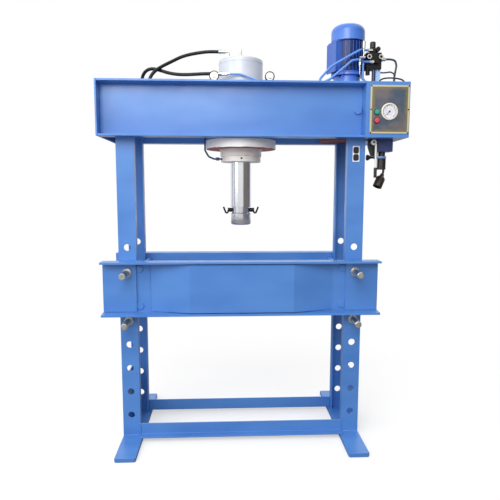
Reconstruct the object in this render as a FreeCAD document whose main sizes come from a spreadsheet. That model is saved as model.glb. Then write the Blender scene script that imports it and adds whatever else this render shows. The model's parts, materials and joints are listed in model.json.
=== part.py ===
import FreeCAD, Part
import math
import os
import re
import Sketcher
from FreeCAD import Placement, Rotation, Vector

# Workshop hydraulic press with a travelling cylinder.  Millimetres, +Z up, +X to the control box.
# The origin lies on the floor, under the ram at mid travel and halfway between front and back.

doc = FreeCAD.newDocument("hydraulic_press")

SIZES = {
    # two columns, each of a front and a back channel whose flanges point at each other
    "column_outer": 740, "column_flange": 106, "column_depth": 370, "column_web": 8,
    "column_wall": 9, "column_reach": 50, "column_top": 2150, "side_wall": 8, "side_top": 362,
    "hole_first": 158, "hole_pitch": 150, "hole_inset": 52, "hole_radius": 20.5,
    "lower_hole": 4, "upper_hole": 6,
    # feet and base rails
    "foot_thick": 25, "foot_wide": 122, "foot_reach": 468, "foot_corner": 8,
    "rail_tall": 75, "rail_leg": 50, "rail_wall": 8,
    # top beam, two channels with their webs on the columns and an end plate on the left
    "beam_lap": 91, "beam_right": 713, "beam_bottom": 1857, "beam_tall": 316,
    "beam_reach": 90, "beam_web": 12, "skin_tip": 12, "skin_root": 17, "end_plate": 10,
    "boss_x": 685, "boss_z": 2019, "boss_radius": 23, "boss_thick": 11,
    # bed, two channels pinned to the columns
    "bed_lap": 96, "bed_bottom": 802, "bed_tall": 327, "bed_play": 2, "bed_web": 10,
    "bed_reach": 86, "doubler_thick": 12, "doubler_lap": 88,
    "tie_radius": 19, "tie_inset": 20, "tie_high": 278, "tie_low": 50, "tie_proud": 6,
    "stiff_thick": 8, "stiff_out": 552, "stiff_in": 312, "stiff_rise": 62,
    # bed pins
    "pin_play": 0.5, "pin_front": 140, "pin_tail": 64, "collar_radius": 27,
    "collar_thick": 10, "pin_chamfer": 4, "rest_gap": 0.3,
    # end box with the control panel
    "box_right": 970, "box_wall": 4,
    "panel_left": 737, "panel_wide": 228, "panel_bottom": 1879, "panel_tall": 272,
    "panel_thick": 3, "rim_wide": 9, "rim_proud": 2, "window_inset": 18,
    "gauge_x": 848.5, "gauge_z": 2002.5, "gauge_radius": 48, "gauge_back": 40, "gauge_front": 12,
    "gauge_hole": 42, "dial_radius": 41, "button_x": 777, "start_z": 2000, "stop_z": 1952,
    "button_radius": 15, "stem_radius": 8, "stem_play": 0.3, "button_travel": 4,
    # tank, lid and power pack
    "tank_left": 516, "tank_right": 778, "tank_wall": 3, "tank_play": 7, "tank_gap": 4,
    "lid_left": 512, "lid_right": 790, "lid_lap": 15, "lid_thick": 8,
    "motor_x": 663, "bell_radius": 80, "bell_wall": 9, "bell_tall": 81, "flange_radius": 100,
    "flange_thick": 11, "motor_core": 88, "fin_radius": 99, "fin_thick": 3, "fin_count": 28,
    "motor_tall": 194, "cowl_radius": 103, "cowl_wall": 3, "cowl_tall": 88, "cowl_lap": 10,
    "shoulder": 43, "shaft_radius": 14, "rotor_radius": 50, "run_play": 0.05, "rotor_gap": 0.6,
    "fan_radius": 84, "pump_radius": 45, "pump_deep": 170,
    "terminal_out": 118, "terminal_half": 50, "terminal_tall": 175, "terminal_turn": 20,
    "terminal_lid": 8,
    "post_x": 835, "post_side": 30, "valve_y": 60, "valve_bottom": 2283, "valve_tall": 96,
    "valve_left": 758, "valve_wide": 92, "valve_deep": 66,
    "pipe_radius": 7, "dark_radius": 6, "thin_radius": 4.5,
    # cylinder, carriage and ram
    "tube_radius": 135, "bore_radius": 100, "cap_thick": 25, "drum_top": 2341, "cap_round": 10,
    "disc_lap": 33, "disc_thick": 54, "disc_gap": 0.5, "weld_gap": 0.2,
    "gland_radius": 128.5, "gland_tall": 43, "ring_radius": 124, "ring_tall": 35,
    "rod_radius": 65, "rod_bottom": 1446, "piston_bottom": 1940, "piston_tall": 60,
    "spigot_radius": 40, "nose_tall": 112, "neck_radius": 55.5, "neck_tall": 35,
    "head_radius": 63, "peg_radius": 30, "peg_long": 50,
    "plate_side": 55, "plate_margin": 3, "plate_bottom": 2138, "plate_thick": 20,
    "roller_x": 160, "roller_y": 226, "roller_radius": 28, "roller_wide": 20,
    "axle_radius": 8, "axle_head": 10.5, "tread": 5, "lug_half": 21, "lug_thick": 12,
    # hoses
    "hose_radius": 9.7, "ferrule_radius": 12, "upper_hose_x": 540, "lower_hose_x": 596,
    # hand valve and hanging plug
    "hand_y": 130, "hand_left": 822, "hand_wide": 90, "hand_deep": 80, "hand_tall": 73,
    "cheek_left": 775, "stem_x": 857, "stem_bottom": 1678, "collar_x": 846, "collar_side": 38,
    "pivot_x": 787, "pivot_z": 1836, "lever_y": 194, "lever_aside": 15,
    "lever_radius": 6, "grip_radius": 9.5, "lever_bottom": 1627, "grip_long": 60,
    "knob_z": 1750, "knob_radius": 18,
    "lead_radius": 7, "plug_radius": 28, "plug_long": 88,
}

sheet = doc.addObject("Spreadsheet::Sheet", "Sizes")
for row, (alias, number) in enumerate(SIZES.items(), 1):
    sheet.set(f"A{row}", alias)
    sheet.set(f"B{row}", str(number))
    sheet.setAlias(f"B{row}", alias)
doc.recompute()


def bind(formula):
    """The formula with each size name turned into its cell of the sheet."""
    return re.sub(r"[a-z]+(_[a-z]+)*", lambda m: f"Sizes.{m[0]}" if m[0] in SIZES else m[0],
                  str(formula))


def value(formula):
    return float(sheet.evalExpression(bind(formula)))


def point(at):
    return Vector(*[value(f) for f in at])


# ---- small building functions -------------------------------------------------------------

ALONG_X = Rotation(Vector(0, 1, 0), 90)     # turns a piece's own +Z to +X
ALONG_Y = Rotation(Vector(1, 0, 0), -90)    # turns a piece's own +Z to +Y
TURNS = {"x": ALONG_X, "y": ALONG_Y, "z": Rotation()}


def place(piece, at, turn=Rotation()):
    """Puts a piece at three formulas, which stay bound to the sheet."""
    piece.Placement = Placement(point(at), turn)
    for axis, formula in zip("xyz", at):
        piece.setExpression(f"Placement.Base.{axis}", bind(formula))
    return piece


def block(label, at, size):
    piece = doc.addObject("Part::Box", label)
    for side, formula in zip(("Length", "Width", "Height"), size):
        piece.setExpression(side, bind(formula))
    return place(piece, at)


def rod(label, radius, length, at, axis="z"):
    piece = doc.addObject("Part::Cylinder", label)
    piece.setExpression("Radius", bind(radius))
    piece.setExpression("Height", bind(length))
    return place(piece, at, TURNS[axis])


def group(label, pieces):
    """Several separate solids kept as one piece."""
    piece = doc.addObject("Part::Compound", label)
    piece.Links = list(pieces)
    return piece


def fuse(label, pieces):
    piece = doc.addObject("Part::MultiFuse", label)
    piece.Shapes = list(pieces)
    return piece


def cut(label, base, tools):
    piece = doc.addObject("Part::Cut", label)
    piece.Base = base
    piece.Tool = tools[0] if len(tools) == 1 else group(label + "_cutters", tools)
    return piece


def made(label, shape):
    """A piece whose shape is worked out with Part's own functions."""
    piece = doc.addObject("Part::Feature", label)
    piece.Shape = shape
    return piece


def draw(body, plane, outline, circles=()):
    """A sketch on one of the body's own planes: a closed outline and round holes, all bound."""
    role = plane + "_Plane"
    support = [f for f in body.Origin.OriginFeatures if f.Role == role][0]
    sketch = body.newObject("Sketcher::SketchObject", body.Name + "_sketch")
    sketch.AttachmentSupport = (support, [""])
    sketch.MapMode = "FlatFace"
    corners = [Vector(value(a), value(b), 0) for a, b in outline]
    count = len(corners)
    sides = [Part.LineSegment(corners[i], corners[(i + 1) % count]) for i in range(count)]
    sketch.addGeometry(sides, False)
    sketch.addConstraint([Sketcher.Constraint("Coincident", i, 2, (i + 1) % count, 1)
                          for i in range(count)])
    for i, (a, b) in enumerate(outline):
        tie(sketch, "DistanceX", i, 1, corners[i].x, a, f"across_{i}")
        tie(sketch, "DistanceY", i, 1, corners[i].y, b, f"up_{i}")
    for i, (a, b, radius) in enumerate(circles):
        centre = Vector(value(a), value(b), 0)
        ring = sketch.addGeometry(Part.Circle(centre, Vector(0, 0, 1), value(radius)), False)
        tie(sketch, "DistanceX", ring, 3, centre.x, a, f"hole_across_{i}")
        tie(sketch, "DistanceY", ring, 3, centre.y, b, f"hole_up_{i}")
        index = sketch.addConstraint(Sketcher.Constraint("Radius", ring, value(radius)))
        sketch.renameConstraint(index, f"hole_size_{i}")
        sketch.setExpression(f"Constraints.hole_size_{i}", bind(radius))
    return sketch


def tie(sketch, kind, line, end, number, formula, name):
    index = sketch.addConstraint(Sketcher.Constraint(kind, -1, 1, line, end, number))
    sketch.renameConstraint(index, name)
    sketch.setExpression(f"Constraints.{name}", bind(formula))


def prism(label, plane, outline, length, at=("0", "0", "0"), circles=()):
    """A body padded from an outline: XY upwards, XZ towards +Y, YZ towards +X."""
    body = doc.addObject("PartDesign::Body", label)
    sketch = draw(body, plane, outline, circles)
    pad = body.newObject("PartDesign::Pad", label + "_pad")
    pad.Profile = sketch
    pad.setExpression("Length", bind(length))
    pad.Reversed = plane == "XZ"
    sketch.Visibility = False
    return place(body, at)


def turned(label, outline, at=("0", "0", "0"), axis="z", circles=()):
    """A body turned about its own Z from an outline of (radius, height) corners."""
    body = doc.addObject("PartDesign::Body", label)
    sketch = draw(body, "XZ", outline, circles)
    spin = body.newObject("PartDesign::Revolution", label + "_turned")
    spin.Profile = sketch
    spin.ReferenceAxis = (sketch, ["V_Axis"])
    spin.Angle = 360
    return place(body, at, TURNS[axis])


def soften(body, kind, size, wanted):
    """A fillet or chamfer on the edges for which wanted(edge) is true."""
    doc.recompute()
    base = body.Tip
    names = [f"Edge{i + 1}" for i, edge in enumerate(base.Shape.Edges) if wanted(edge)]
    feature = body.newObject("PartDesign::" + kind, f"{body.Name}_{kind.lower()}")
    feature.Base = (base, names)
    feature.setExpression("Radius" if kind == "Fillet" else "Size", bind(size))
    return body


def circle_at(height, radius):
    """Picks full circular edges at a height and radius of a turned body's own frame."""
    def wanted(edge):
        curve = edge.Curve
        return (isinstance(curve, Part.Circle) and abs(curve.Radius - value(radius)) < 0.01
                and abs(curve.Center.z - value(height)) < 0.01)
    return wanted


def mirrored_y(outline):
    return [(f"-({y})", z) for y, z in outline]


def boxed(x_low, x_high, y_low, y_high):
    return [(x_low, y_low), (x_high, y_low), (x_high, y_high), (x_low, y_high)]


def bent_path(points, bend=None):
    """Straight runs joined by tangent arcs.  With no bend given, each arc is as large as its
    two runs allow: 0.45 of the shorter run over the tangent of half the turn."""
    edges, radii, start = [], [], points[0]
    for before, corner, after in zip(points, points[1:], points[2:]):
        way_in, way_out = corner - before, after - corner
        shorter = min(way_in.Length, way_out.Length)
        way_in.normalize()
        way_out.normalize()
        half = math.acos(max(-1, min(1, way_in.dot(way_out)))) / 2
        back = 0.45 * shorter
        if bend is not None:
            back = min(back, bend * math.tan(half))
        radii.append(back / math.tan(half))
        first, last = corner - way_in * back, corner + way_out * back
        inward = way_out - way_in
        inward.normalize()
        middle = corner + inward * (radii[-1] / math.cos(half) - radii[-1])
        edges += [Part.LineSegment(start, first).toShape(), Part.Arc(first, middle, last).toShape()]
        start = last
    edges.append(Part.LineSegment(start, points[-1]).toShape())
    return Part.Wire(edges), radii


def swept(points, radius, bend=None):
    """A round bar or pipe along the points, with its volume compared with section times length."""
    path, radii = bent_path(points, bend)
    ring = Part.Wire(Part.Circle(points[0], points[1] - points[0], radius).toShape())
    solid = path.makePipeShell([ring], True, False)
    wanted = math.pi * radius ** 2 * path.Length
    if abs(solid.Volume / wanted - 1) > 0.01:
        raise ValueError(f"swept volume {solid.Volume:.0f} is not {wanted:.0f}")
    return solid, path.Length, radii


def pipe(route, radius, bend):
    return swept([point(p) for p in route], value(radius), bend)[0]


def cord(label, route, radius):
    """A hose or cable along a route chosen by hand, which prints its length and bends."""
    solid, length, radii = swept([Vector(*p) for p in route], value(radius))
    print(f"{label}: length {length:.0f} mm, tightest bend {min(radii):.0f} mm")
    return made(label, solid)


def hexagon(at, across, height, axis="z", hole=0):
    """A hexagon nut or head, by its size across the flats."""
    corners = [Vector(across / math.sqrt(3), 0, 0)]
    corners = [Rotation(Vector(0, 0, 1), 60 * i).multVec(corners[0]) for i in range(7)]
    solid = Part.Face(Part.makePolygon(corners)).extrude(Vector(0, 0, height))
    if hole:
        solid = solid.cut(Part.makeCylinder(hole, height))
    solid.Placement = Placement(point(at), TURNS[axis])
    return solid


nodes = []


def keep(piece):
    nodes.append(piece)
    return piece


# ---- columns, feet and rails ---------------------------------------------------------------

def column_channel(label, side, face):
    """A channel standing on end, its web in front or behind with eight pin holes in it."""
    half, tip = f"{face}*column_depth/2", f"{face}*(column_depth/2 - column_reach)"
    web = f"{face}*(column_depth/2 - column_web)"
    outer, inner = f"{side}*column_outer", f"{side}*(column_outer - column_flange)"
    outer_in = f"{side}*(column_outer - column_wall)"
    inner_in = f"{side}*(column_outer - column_flange + column_wall)"
    outline = [(outer, half), (inner, half), (inner, tip), (inner_in, tip), (inner_in, web),
               (outer_in, web), (outer_in, tip), (outer, tip)]
    body = prism(label, "XY", outline, "column_top - foot_thick", ("0", "0", "foot_thick"))
    holes = body.newObject("Sketcher::SketchObject", label + "_holes")
    plane = [f for f in body.Origin.OriginFeatures if f.Role == "XZ_Plane"][0]
    holes.AttachmentSupport = (plane, [""])
    holes.MapMode = "FlatFace"
    for i in range(8):
        across = f"{side}*(column_outer - hole_inset)"
        high = f"hole_first + {i}*hole_pitch - foot_thick"
        centre = Vector(value(across), value(high), 0)
        ring = holes.addGeometry(Part.Circle(centre, Vector(0, 0, 1), value("hole_radius")), False)
        tie(holes, "DistanceX", ring, 3, centre.x, across, f"across_{i}")
        tie(holes, "DistanceY", ring, 3, centre.y, high, f"up_{i}")
        size = holes.addConstraint(Sketcher.Constraint("Radius", ring, value("hole_radius")))
        holes.renameConstraint(size, f"size_{i}")
        holes.setExpression(f"Constraints.size_{i}", bind("hole_radius"))
    pocket = body.newObject("PartDesign::Pocket", label + "_pin_holes")
    pocket.Profile = holes
    pocket.Midplane = True
    pocket.setExpression("Length", bind("2*column_depth"))
    return body


def side_plate(side, low, high):
    """A plate between the outer flanges, which joins the front and back channels."""
    start = "column_outer - side_wall" if side > 0 else "-column_outer"
    half = "(column_depth/2 - column_reach)"
    return block("side_plate", (start, f"-{half}", low), ("side_wall", f"2*{half}", f"{high} - ({low})"))


FACES = ((-1, "front"), (1, "back"))
left_parts = [column_channel(f"left_channel_{name}", -1, face) for face, name in FACES]
left_parts += [side_plate(-1, "foot_thick", "side_top"), side_plate(-1, "beam_bottom", "column_top")]
keep(group("left_column", left_parts))
right_parts = [column_channel(f"right_channel_{name}", 1, face) for face, name in FACES]
right_parts.append(side_plate(1, "foot_thick", "side_top"))
keep(group("right_column", right_parts))


def foot(side):
    """A flat bar on the floor under a column, with its corners taken off."""
    far, near = "column_outer", "(column_outer - foot_wide)"
    reach, corner = "foot_reach", "foot_corner"
    outline = [(f"{side}*({far} - {corner})", f"-{reach}"), (f"{side}*({near} + {corner})", f"-{reach}"),
               (f"{side}*{near}", f"-({reach} - {corner})"), (f"{side}*{near}", f"{reach} - {corner}"),
               (f"{side}*({near} + {corner})", reach), (f"{side}*({far} - {corner})", reach),
               (f"{side}*{far}", f"{reach} - {corner}"), (f"{side}*{far}", f"-({reach} - {corner})")]
    return prism("foot_blank", "XY", outline, "foot_thick")


keep(group("feet", [foot(-1), foot(1)]))

RAIL_FACE = "column_depth/2"
rail = [(f"-({RAIL_FACE} + rail_leg)", "foot_thick"), (f"-({RAIL_FACE} - rail_wall)", "foot_thick"),
        (f"-({RAIL_FACE} - rail_wall)", "foot_thick + rail_tall"),
        (f"-({RAIL_FACE})", "foot_thick + rail_tall"), (f"-({RAIL_FACE})", "foot_thick + rail_wall"),
        (f"-({RAIL_FACE} + rail_leg)", "foot_thick + rail_wall")]
RAIL_START = ("-(column_outer - column_flange)", "0", "0")
RAIL_LONG = "2*(column_outer - column_flange)"
keep(group("base_rails", [prism("rail_front", "YZ", rail, RAIL_LONG, RAIL_START),
                          prism("rail_back", "YZ", mirrored_y(rail), RAIL_LONG, RAIL_START)]))

# ---- top beam ------------------------------------------------------------------------------


def channel_outline(back, web, reach, bottom, tall):
    """A channel lying on its web: flanges point to -Y, thinner at their tips."""
    return [(f"-({back} + {reach})", bottom), (f"-({back})", bottom),
            (f"-({back})", f"{bottom} + {tall}"), (f"-({back} + {reach})", f"{bottom} + {tall}"),
            (f"-({back} + {reach})", f"{bottom} + {tall} - skin_tip"),
            (f"-({back} + {web})", f"{bottom} + {tall} - skin_root"),
            (f"-({back} + {web})", f"{bottom} + skin_root"),
            (f"-({back} + {reach})", f"{bottom} + skin_tip")]


beam = channel_outline("column_depth/2", "beam_web", "beam_reach", "beam_bottom", "beam_tall")
BEAM_LEFT = "(column_outer + beam_lap)"
BEAM_START = (f"end_plate - {BEAM_LEFT}", "0", "0")
BEAM_LONG = f"{BEAM_LEFT} - end_plate + beam_right"
front_blank = prism("beam_front_blank", "YZ", beam, BEAM_LONG, BEAM_START)
boss = rod("beam_boss", "boss_radius", "boss_thick + 1",
           ("boss_x", "-(column_depth/2 + beam_web + boss_thick)", "boss_z"), "y")
keep(fuse("beam_front_channel", [front_blank, boss]))
keep(prism("beam_back_channel", "YZ", mirrored_y(beam), BEAM_LONG, BEAM_START))
keep(block("beam_end_plate", (f"-{BEAM_LEFT}", "-(column_depth/2 + beam_reach)", "beam_bottom"),
           ("end_plate", "column_depth + 2*beam_reach", "beam_tall")))

# ---- bed -----------------------------------------------------------------------------------

BED_BACK = "column_depth/2 + bed_play"
BED_FACE = f"{BED_BACK} + bed_web"
BED_HALF = "(column_outer + bed_lap)"
TIE_X = "(column_outer - column_flange - tie_inset)"
PIN_X = "column_outer - hole_inset"
LOWER_Z = "hole_first + lower_hole*hole_pitch"
UPPER_Z = "hole_first + upper_hole*hole_pitch"
bed = channel_outline(BED_BACK, "bed_web", "bed_reach", "bed_bottom", "bed_tall")


def bed_channel(label, outline):
    blank = prism(label + "_blank", "YZ", outline, f"2*{BED_HALF}", (f"-{BED_HALF}", "0", "0"))
    span = "column_depth + 4*bed_reach"
    start = "-(column_depth/2 + 2*bed_reach)"
    holes = [rod(label + "_pin_hole", "hole_radius", span, (f"{s}*({PIN_X})", start, UPPER_Z), "y")
             for s in (-1, 1)]
    holes += [rod(label + "_tie_hole", "tie_radius + weld_gap", span,
                  (f"{s}*{TIE_X}", start, f"bed_bottom + {z}"), "y")
              for s in (-1, 1) for z in ("tie_low", "tie_high")]
    return cut(label, blank, holes)


keep(bed_channel("bed_front_channel", bed))
keep(bed_channel("bed_back_channel", mirrored_y(bed)))


def doubler(side, face):
    """The pad plate that thickens the bed's web round an upper pin."""
    low = "column_outer - column_flange" if side > 0 else "-(column_outer + doubler_lap)"
    outline = boxed(low, f"{low} + column_flange + doubler_lap", "bed_bottom + skin_root + 1",
                    "bed_bottom + bed_tall - skin_root - 1")
    start = f"-({BED_FACE} + doubler_thick)" if face < 0 else BED_FACE
    return prism("doubler", "XZ", outline, "doubler_thick", ("0", start, "0"),
                 [(f"{side}*({PIN_X})", UPPER_Z, "hole_radius")])


def stiffener(face):
    """The bent cover plate that boxes in the middle of a bed channel."""
    near, rise, thick = f"{BED_FACE} + rest_gap", "stiff_rise", "stiff_thick"
    outer = [("-stiff_out", near), ("-stiff_in", f"{near} + {rise}"),
             ("stiff_in", f"{near} + {rise}"), ("stiff_out", near)]
    inner = [("stiff_out - 30", near), ("stiff_in - 2", f"{near} + {rise} - {thick}"),
             ("-(stiff_in - 2)", f"{near} + {rise} - {thick}"), ("-(stiff_out - 30)", near)]
    outline = [(x, f"{face}*({y})") for x, y in outer + inner]
    return prism("stiffener", "XY", outline, "bed_tall - 2*skin_root - 2",
                 ("0", "0", "bed_bottom + skin_root + 1"))


keep(group("bed_stiffener_plates", [doubler(s, f) for s in (-1, 1) for f in (-1, 1)]
           + [stiffener(-1), stiffener(1)]))
keep(group("bed_tie_bars", [
    rod("tie_bar", "tie_radius", f"2*({BED_FACE} + tie_proud)",
        (f"{s}*{TIE_X}", f"-({BED_FACE} + tie_proud)", f"bed_bottom + {z}"), "y")
    for s in (-1, 1) for z in ("tie_low", "tie_high")]))


def bed_pin(label, side, height, seat):
    """A turned pin along Y: its collar stops on the seat, and its front end sticks out."""
    radius, back = "hole_radius - pin_play", "column_depth + pin_tail"
    outline = [("0", "-pin_front"), (f"{radius} - pin_chamfer", "-pin_front"),
               (radius, "-(pin_front - pin_chamfer)"), (radius, "0"),
               ("collar_radius", "0"), ("collar_radius", "collar_thick"),
               (radius, "collar_thick"), (radius, f"{back} - pin_chamfer"),
               (f"{radius} - pin_chamfer", back), ("0", back)]
    start = f"-({seat} + rest_gap + collar_thick)"
    return turned(label, outline, (f"{side}*({PIN_X})", start, height), "y")


for side, name in ((-1, "left"), (1, "right")):
    keep(bed_pin(f"upper_pin_{name}", side, UPPER_Z, f"{BED_FACE} + doubler_thick"))
    keep(bed_pin(f"lower_pin_{name}", side, LOWER_Z, "column_depth/2"))

# ---- end box and control panel -------------------------------------------------------------

FRONT = "column_depth/2 + beam_reach"


def box_plan(wall):
    """The box in plan: it steps round the column and the end of the tank.  The wall sets how
    far inside the box the outline lies."""
    left, right = f"beam_right + {wall}", f"box_right - {wall}"
    step, front = f"tank_right + tank_gap + {wall}", f"{FRONT} - {wall}"
    side = f"column_depth/2 + bed_play + {wall}"
    return [(left, f"-({front})"), (right, f"-({front})"), (right, front), (left, front),
            (left, side), (step, side), (step, f"-({side})"), (left, f"-({side})")]


PANEL_RIGHT = "panel_left + panel_wide"
PANEL_TOP = "panel_bottom + panel_tall"
box_outer = prism("box_outer", "XY", box_plan("0"), "beam_tall", ("0", "0", "beam_bottom"))
box_inner = prism("box_inner", "XY", box_plan("box_wall"), "beam_tall - 2*box_wall",
                  ("0", "0", "beam_bottom + box_wall"))
box_window = block("box_window", ("panel_left + window_inset", f"-({FRONT} + 1)",
                                  "panel_bottom + window_inset"),
                   ("panel_wide - 2*window_inset", "box_wall + 2", "panel_tall - 2*window_inset"))
SCREW_SPOTS = [(x, z) for x in ("panel_left + rim_wide/2", f"{PANEL_RIGHT} - rim_wide/2")
               for z in ("panel_bottom + rim_wide/2", "panel_bottom + panel_tall/2",
                         f"{PANEL_TOP} - rim_wide/2")]
screw_holes = [rod("screw_hole", "2.2", "box_wall + 2", (x, f"-({FRONT} + 1)", z), "y")
               for x, z in SCREW_SPOTS]
keep(cut("end_box", box_outer, [box_inner, box_window] + screw_holes))

panel_holes = [("gauge_x", "gauge_z", "gauge_hole + 0.5")]
panel_holes += [("button_x", z, "stem_radius + stem_play") for z in ("start_z", "stop_z")]
panel_holes += [(x, z, "2.2") for x, z in SCREW_SPOTS]
PANEL_FACE = f"{FRONT} + panel_thick"
plate = prism("panel_plate", "XZ", boxed("panel_left", PANEL_RIGHT, "panel_bottom", PANEL_TOP),
              "panel_thick", ("0", f"-({PANEL_FACE})", "0"), panel_holes)
rim_out = block("rim_out", ("panel_left", f"-({PANEL_FACE} + rim_proud)", "panel_bottom"),
                ("panel_wide", "rim_proud", "panel_tall"))
rim_in = block("rim_in", ("panel_left + rim_wide", f"-({PANEL_FACE} + rim_proud)",
                          "panel_bottom + rim_wide"),
               ("panel_wide - 2*rim_wide", "rim_proud", "panel_tall - 2*rim_wide"))
rim_holes = [rod("rim_hole", "2.2", "rim_proud", (x, f"-({PANEL_FACE} + rim_proud)", z), "y")
             for x, z in SCREW_SPOTS]
rim = cut("panel_rim", rim_out, [rim_in] + rim_holes)
keep(fuse("control_panel", [plate, rim]))

screw = [("0", "0"), ("3.4", "0"), ("4.2", "1.2"), ("4.2", "2.4"), ("2", "2.4"),
         ("2", "panel_thick + rim_proud + box_wall + 5"), ("0", "panel_thick + rim_proud + box_wall + 5")]
panel_screws = [turned("panel_screw", screw, (x, f"-({PANEL_FACE} + rim_proud + 2.4)", z), "y")
                for x, z in SCREW_SPOTS]

case = [("gauge_hole", "-gauge_back"), ("gauge_hole", "0"), ("gauge_radius", "0"),
        ("gauge_radius", "gauge_front - 3"), ("gauge_radius - 3", "gauge_front"),
        ("dial_radius", "gauge_front"), ("dial_radius", "3"), ("5", "3"), ("5", "-gauge_back")]
GAUGE_AT = ("gauge_x", f"-({PANEL_FACE})", "gauge_z")


def facing_front(piece, at):
    """Turns a piece's own +Z to -Y, so that it looks out of the front."""
    return place(piece, at, Rotation(Vector(1, 0, 0), 90))


keep(facing_front(turned("gauge_case", case), GAUGE_AT))
dial = [("5", "3"), ("dial_radius - 0.2", "3"), ("dial_radius - 0.2", "4.5"), ("5", "4.5")]
keep(facing_front(turned("gauge_dial", dial), GAUGE_AT))
POINTER_REST = 225
pin_part = Part.makeCylinder(4.7, 34, Vector(0, 0, -26)).fuse(Part.makeCylinder(3, 2, Vector(0, 0, 8)))
hand = Part.Face(Part.makePolygon([Vector(-9, -1.6, 6), Vector(0, -1.8, 6), Vector(31, -0.5, 6),
                                   Vector(31, 0.5, 6), Vector(0, 1.8, 6), Vector(-9, 1.6, 6),
                                   Vector(-9, -1.6, 6)])).extrude(Vector(0, 0, 1))
hand.rotate(Vector(), Vector(0, 0, 1), POINTER_REST)
keep(facing_front(made("gauge_pointer", pin_part.fuse(hand)), GAUGE_AT))


def button(label, height):
    """A push button: a domed head that stands off the panel by its travel, and a stem."""
    away = "button_travel + 1"
    outline = [("0", "-30"), ("stem_radius", "-30"), ("stem_radius", away), ("button_radius", away),
               ("button_radius", f"{away} + 5"), ("button_radius - 3", f"{away} + 8"),
               ("0", f"{away} + 9")]
    return facing_front(turned(label, outline), ("button_x", f"-({PANEL_FACE})", height))


keep(button("start_button", "start_z"))
keep(button("stop_button", "stop_z"))

# ---- tank, lid, pump and motor -------------------------------------------------------------

BEAM_TOP = "beam_bottom + beam_tall"
LID_TOP = f"{BEAM_TOP} + lid_thick"
LID_HALF = "(column_depth/2 + lid_lap)"
TANK_HALF = "(column_depth/2 - column_reach - tank_play)"
tank_outer = block("tank_outer", ("tank_left", f"-{TANK_HALF}", "beam_bottom + 3"),
                   ("tank_right - tank_left", f"2*{TANK_HALF}", "beam_tall - 3"))
tank_inner = block("tank_inner", ("tank_left + tank_wall", f"-({TANK_HALF} - tank_wall)",
                                  "beam_bottom + 3 + tank_wall"),
                   ("tank_right - tank_left - 2*tank_wall", f"2*({TANK_HALF} - tank_wall)",
                    "beam_tall"))
keep(cut("oil_tank", tank_outer, [tank_inner]))
keep(prism("tank_lid", "XY", boxed("lid_left", "lid_right", f"-{LID_HALF}", LID_HALF), "lid_thick",
           ("0", "0", BEAM_TOP), [("motor_x", "0", "10 + run_play")]))

AXIS = ("motor_x", "0", LID_TOP)
bell = [("bell_radius - bell_wall", "0"), ("bell_radius + 12", "0"), ("bell_radius + 12", "10"),
        ("bell_radius", "10"), ("bell_radius", "bell_tall - 10"), ("flange_radius", "bell_tall - 10"),
        ("flange_radius", "bell_tall"), ("bell_radius - bell_wall", "bell_tall")]
keep(turned("bell_housing", bell, AXIS))

FLANGE = "bell_tall"
BODY_TOP = "bell_tall + motor_tall + flange_thick"
SHIELD = "12"
bore, cavity = "shaft_radius + run_play", "rotor_radius + rotor_gap"
motor = [(bore, FLANGE), ("flange_radius", FLANGE), ("flange_radius", f"{FLANGE} + flange_thick"),
         ("motor_core", f"{FLANGE} + flange_thick"), ("motor_core", f"{BODY_TOP} - {SHIELD}"),
         ("cowl_radius - cowl_wall - 0.2", f"{BODY_TOP} - {SHIELD}"),
         ("cowl_radius - cowl_wall - 0.2", BODY_TOP), (bore, BODY_TOP),
         (bore, f"{BODY_TOP} - {SHIELD}"), (cavity, f"{BODY_TOP} - {SHIELD}"),
         (cavity, f"{FLANGE} + flange_thick + 4"), (bore, f"{FLANGE} + flange_thick + 4")]
motor_shell = turned("motor_shell", motor, AXIS)
fin = block("motor_fin", ("motor_x + motor_core - 2", "-fin_thick/2",
                          f"{LID_TOP} + {FLANGE} + flange_thick + 5"),
            ("fin_radius - motor_core + 2", "fin_thick", "motor_tall - 22"))
doc.recompute()
FIN_STEP = 360 / value("fin_count")
fins = []
for i in range(int(value("fin_count"))):
    shape = fin.Shape.copy()
    shape.rotate(Vector(value("motor_x"), 0, 0), Vector(0, 0, 1), FIN_STEP * (i + 0.5))
    if abs(FIN_STEP * (i + 0.5) - 180 - value("terminal_turn")) > 42:
        fins.append(shape)
fin_ring = made("motor_fins", Part.makeCompound(fins))
keep(fuse("motor_body", [motor_shell, fin_ring]))

cowl = [("cowl_radius - cowl_wall", "-cowl_lap"), ("cowl_radius", "-cowl_lap"),
        ("cowl_radius", "cowl_tall"), ("0", "cowl_tall"), ("0", "cowl_tall - cowl_wall"),
        ("cowl_radius - cowl_wall", "cowl_tall - cowl_wall")]
COWL_AT = ("motor_x", "0", f"{LID_TOP} + {BODY_TOP}")
cowl_shell = turned("cowl_shell", cowl, COWL_AT)
soften(cowl_shell, "Fillet", "shoulder", circle_at("cowl_tall", "cowl_radius"))
soften(cowl_shell, "Fillet", "shoulder - cowl_wall",
       circle_at("cowl_tall - cowl_wall", "cowl_radius - cowl_wall"))
vents = []
for ring_radius, count in ((18, 8), (34, 14), (50, 20)):
    for i in range(count):
        turn = 2 * math.pi * i / count
        vents.append(rod("cowl_vent", "4.5", "cowl_wall + 4",
                         (f"motor_x + {ring_radius * math.cos(turn):.3f}",
                          f"{ring_radius * math.sin(turn):.3f}",
                          f"{LID_TOP} + {BODY_TOP} + cowl_tall - cowl_wall - 2")))
keep(cut("motor_cowl", cowl_shell, vents))

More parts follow.
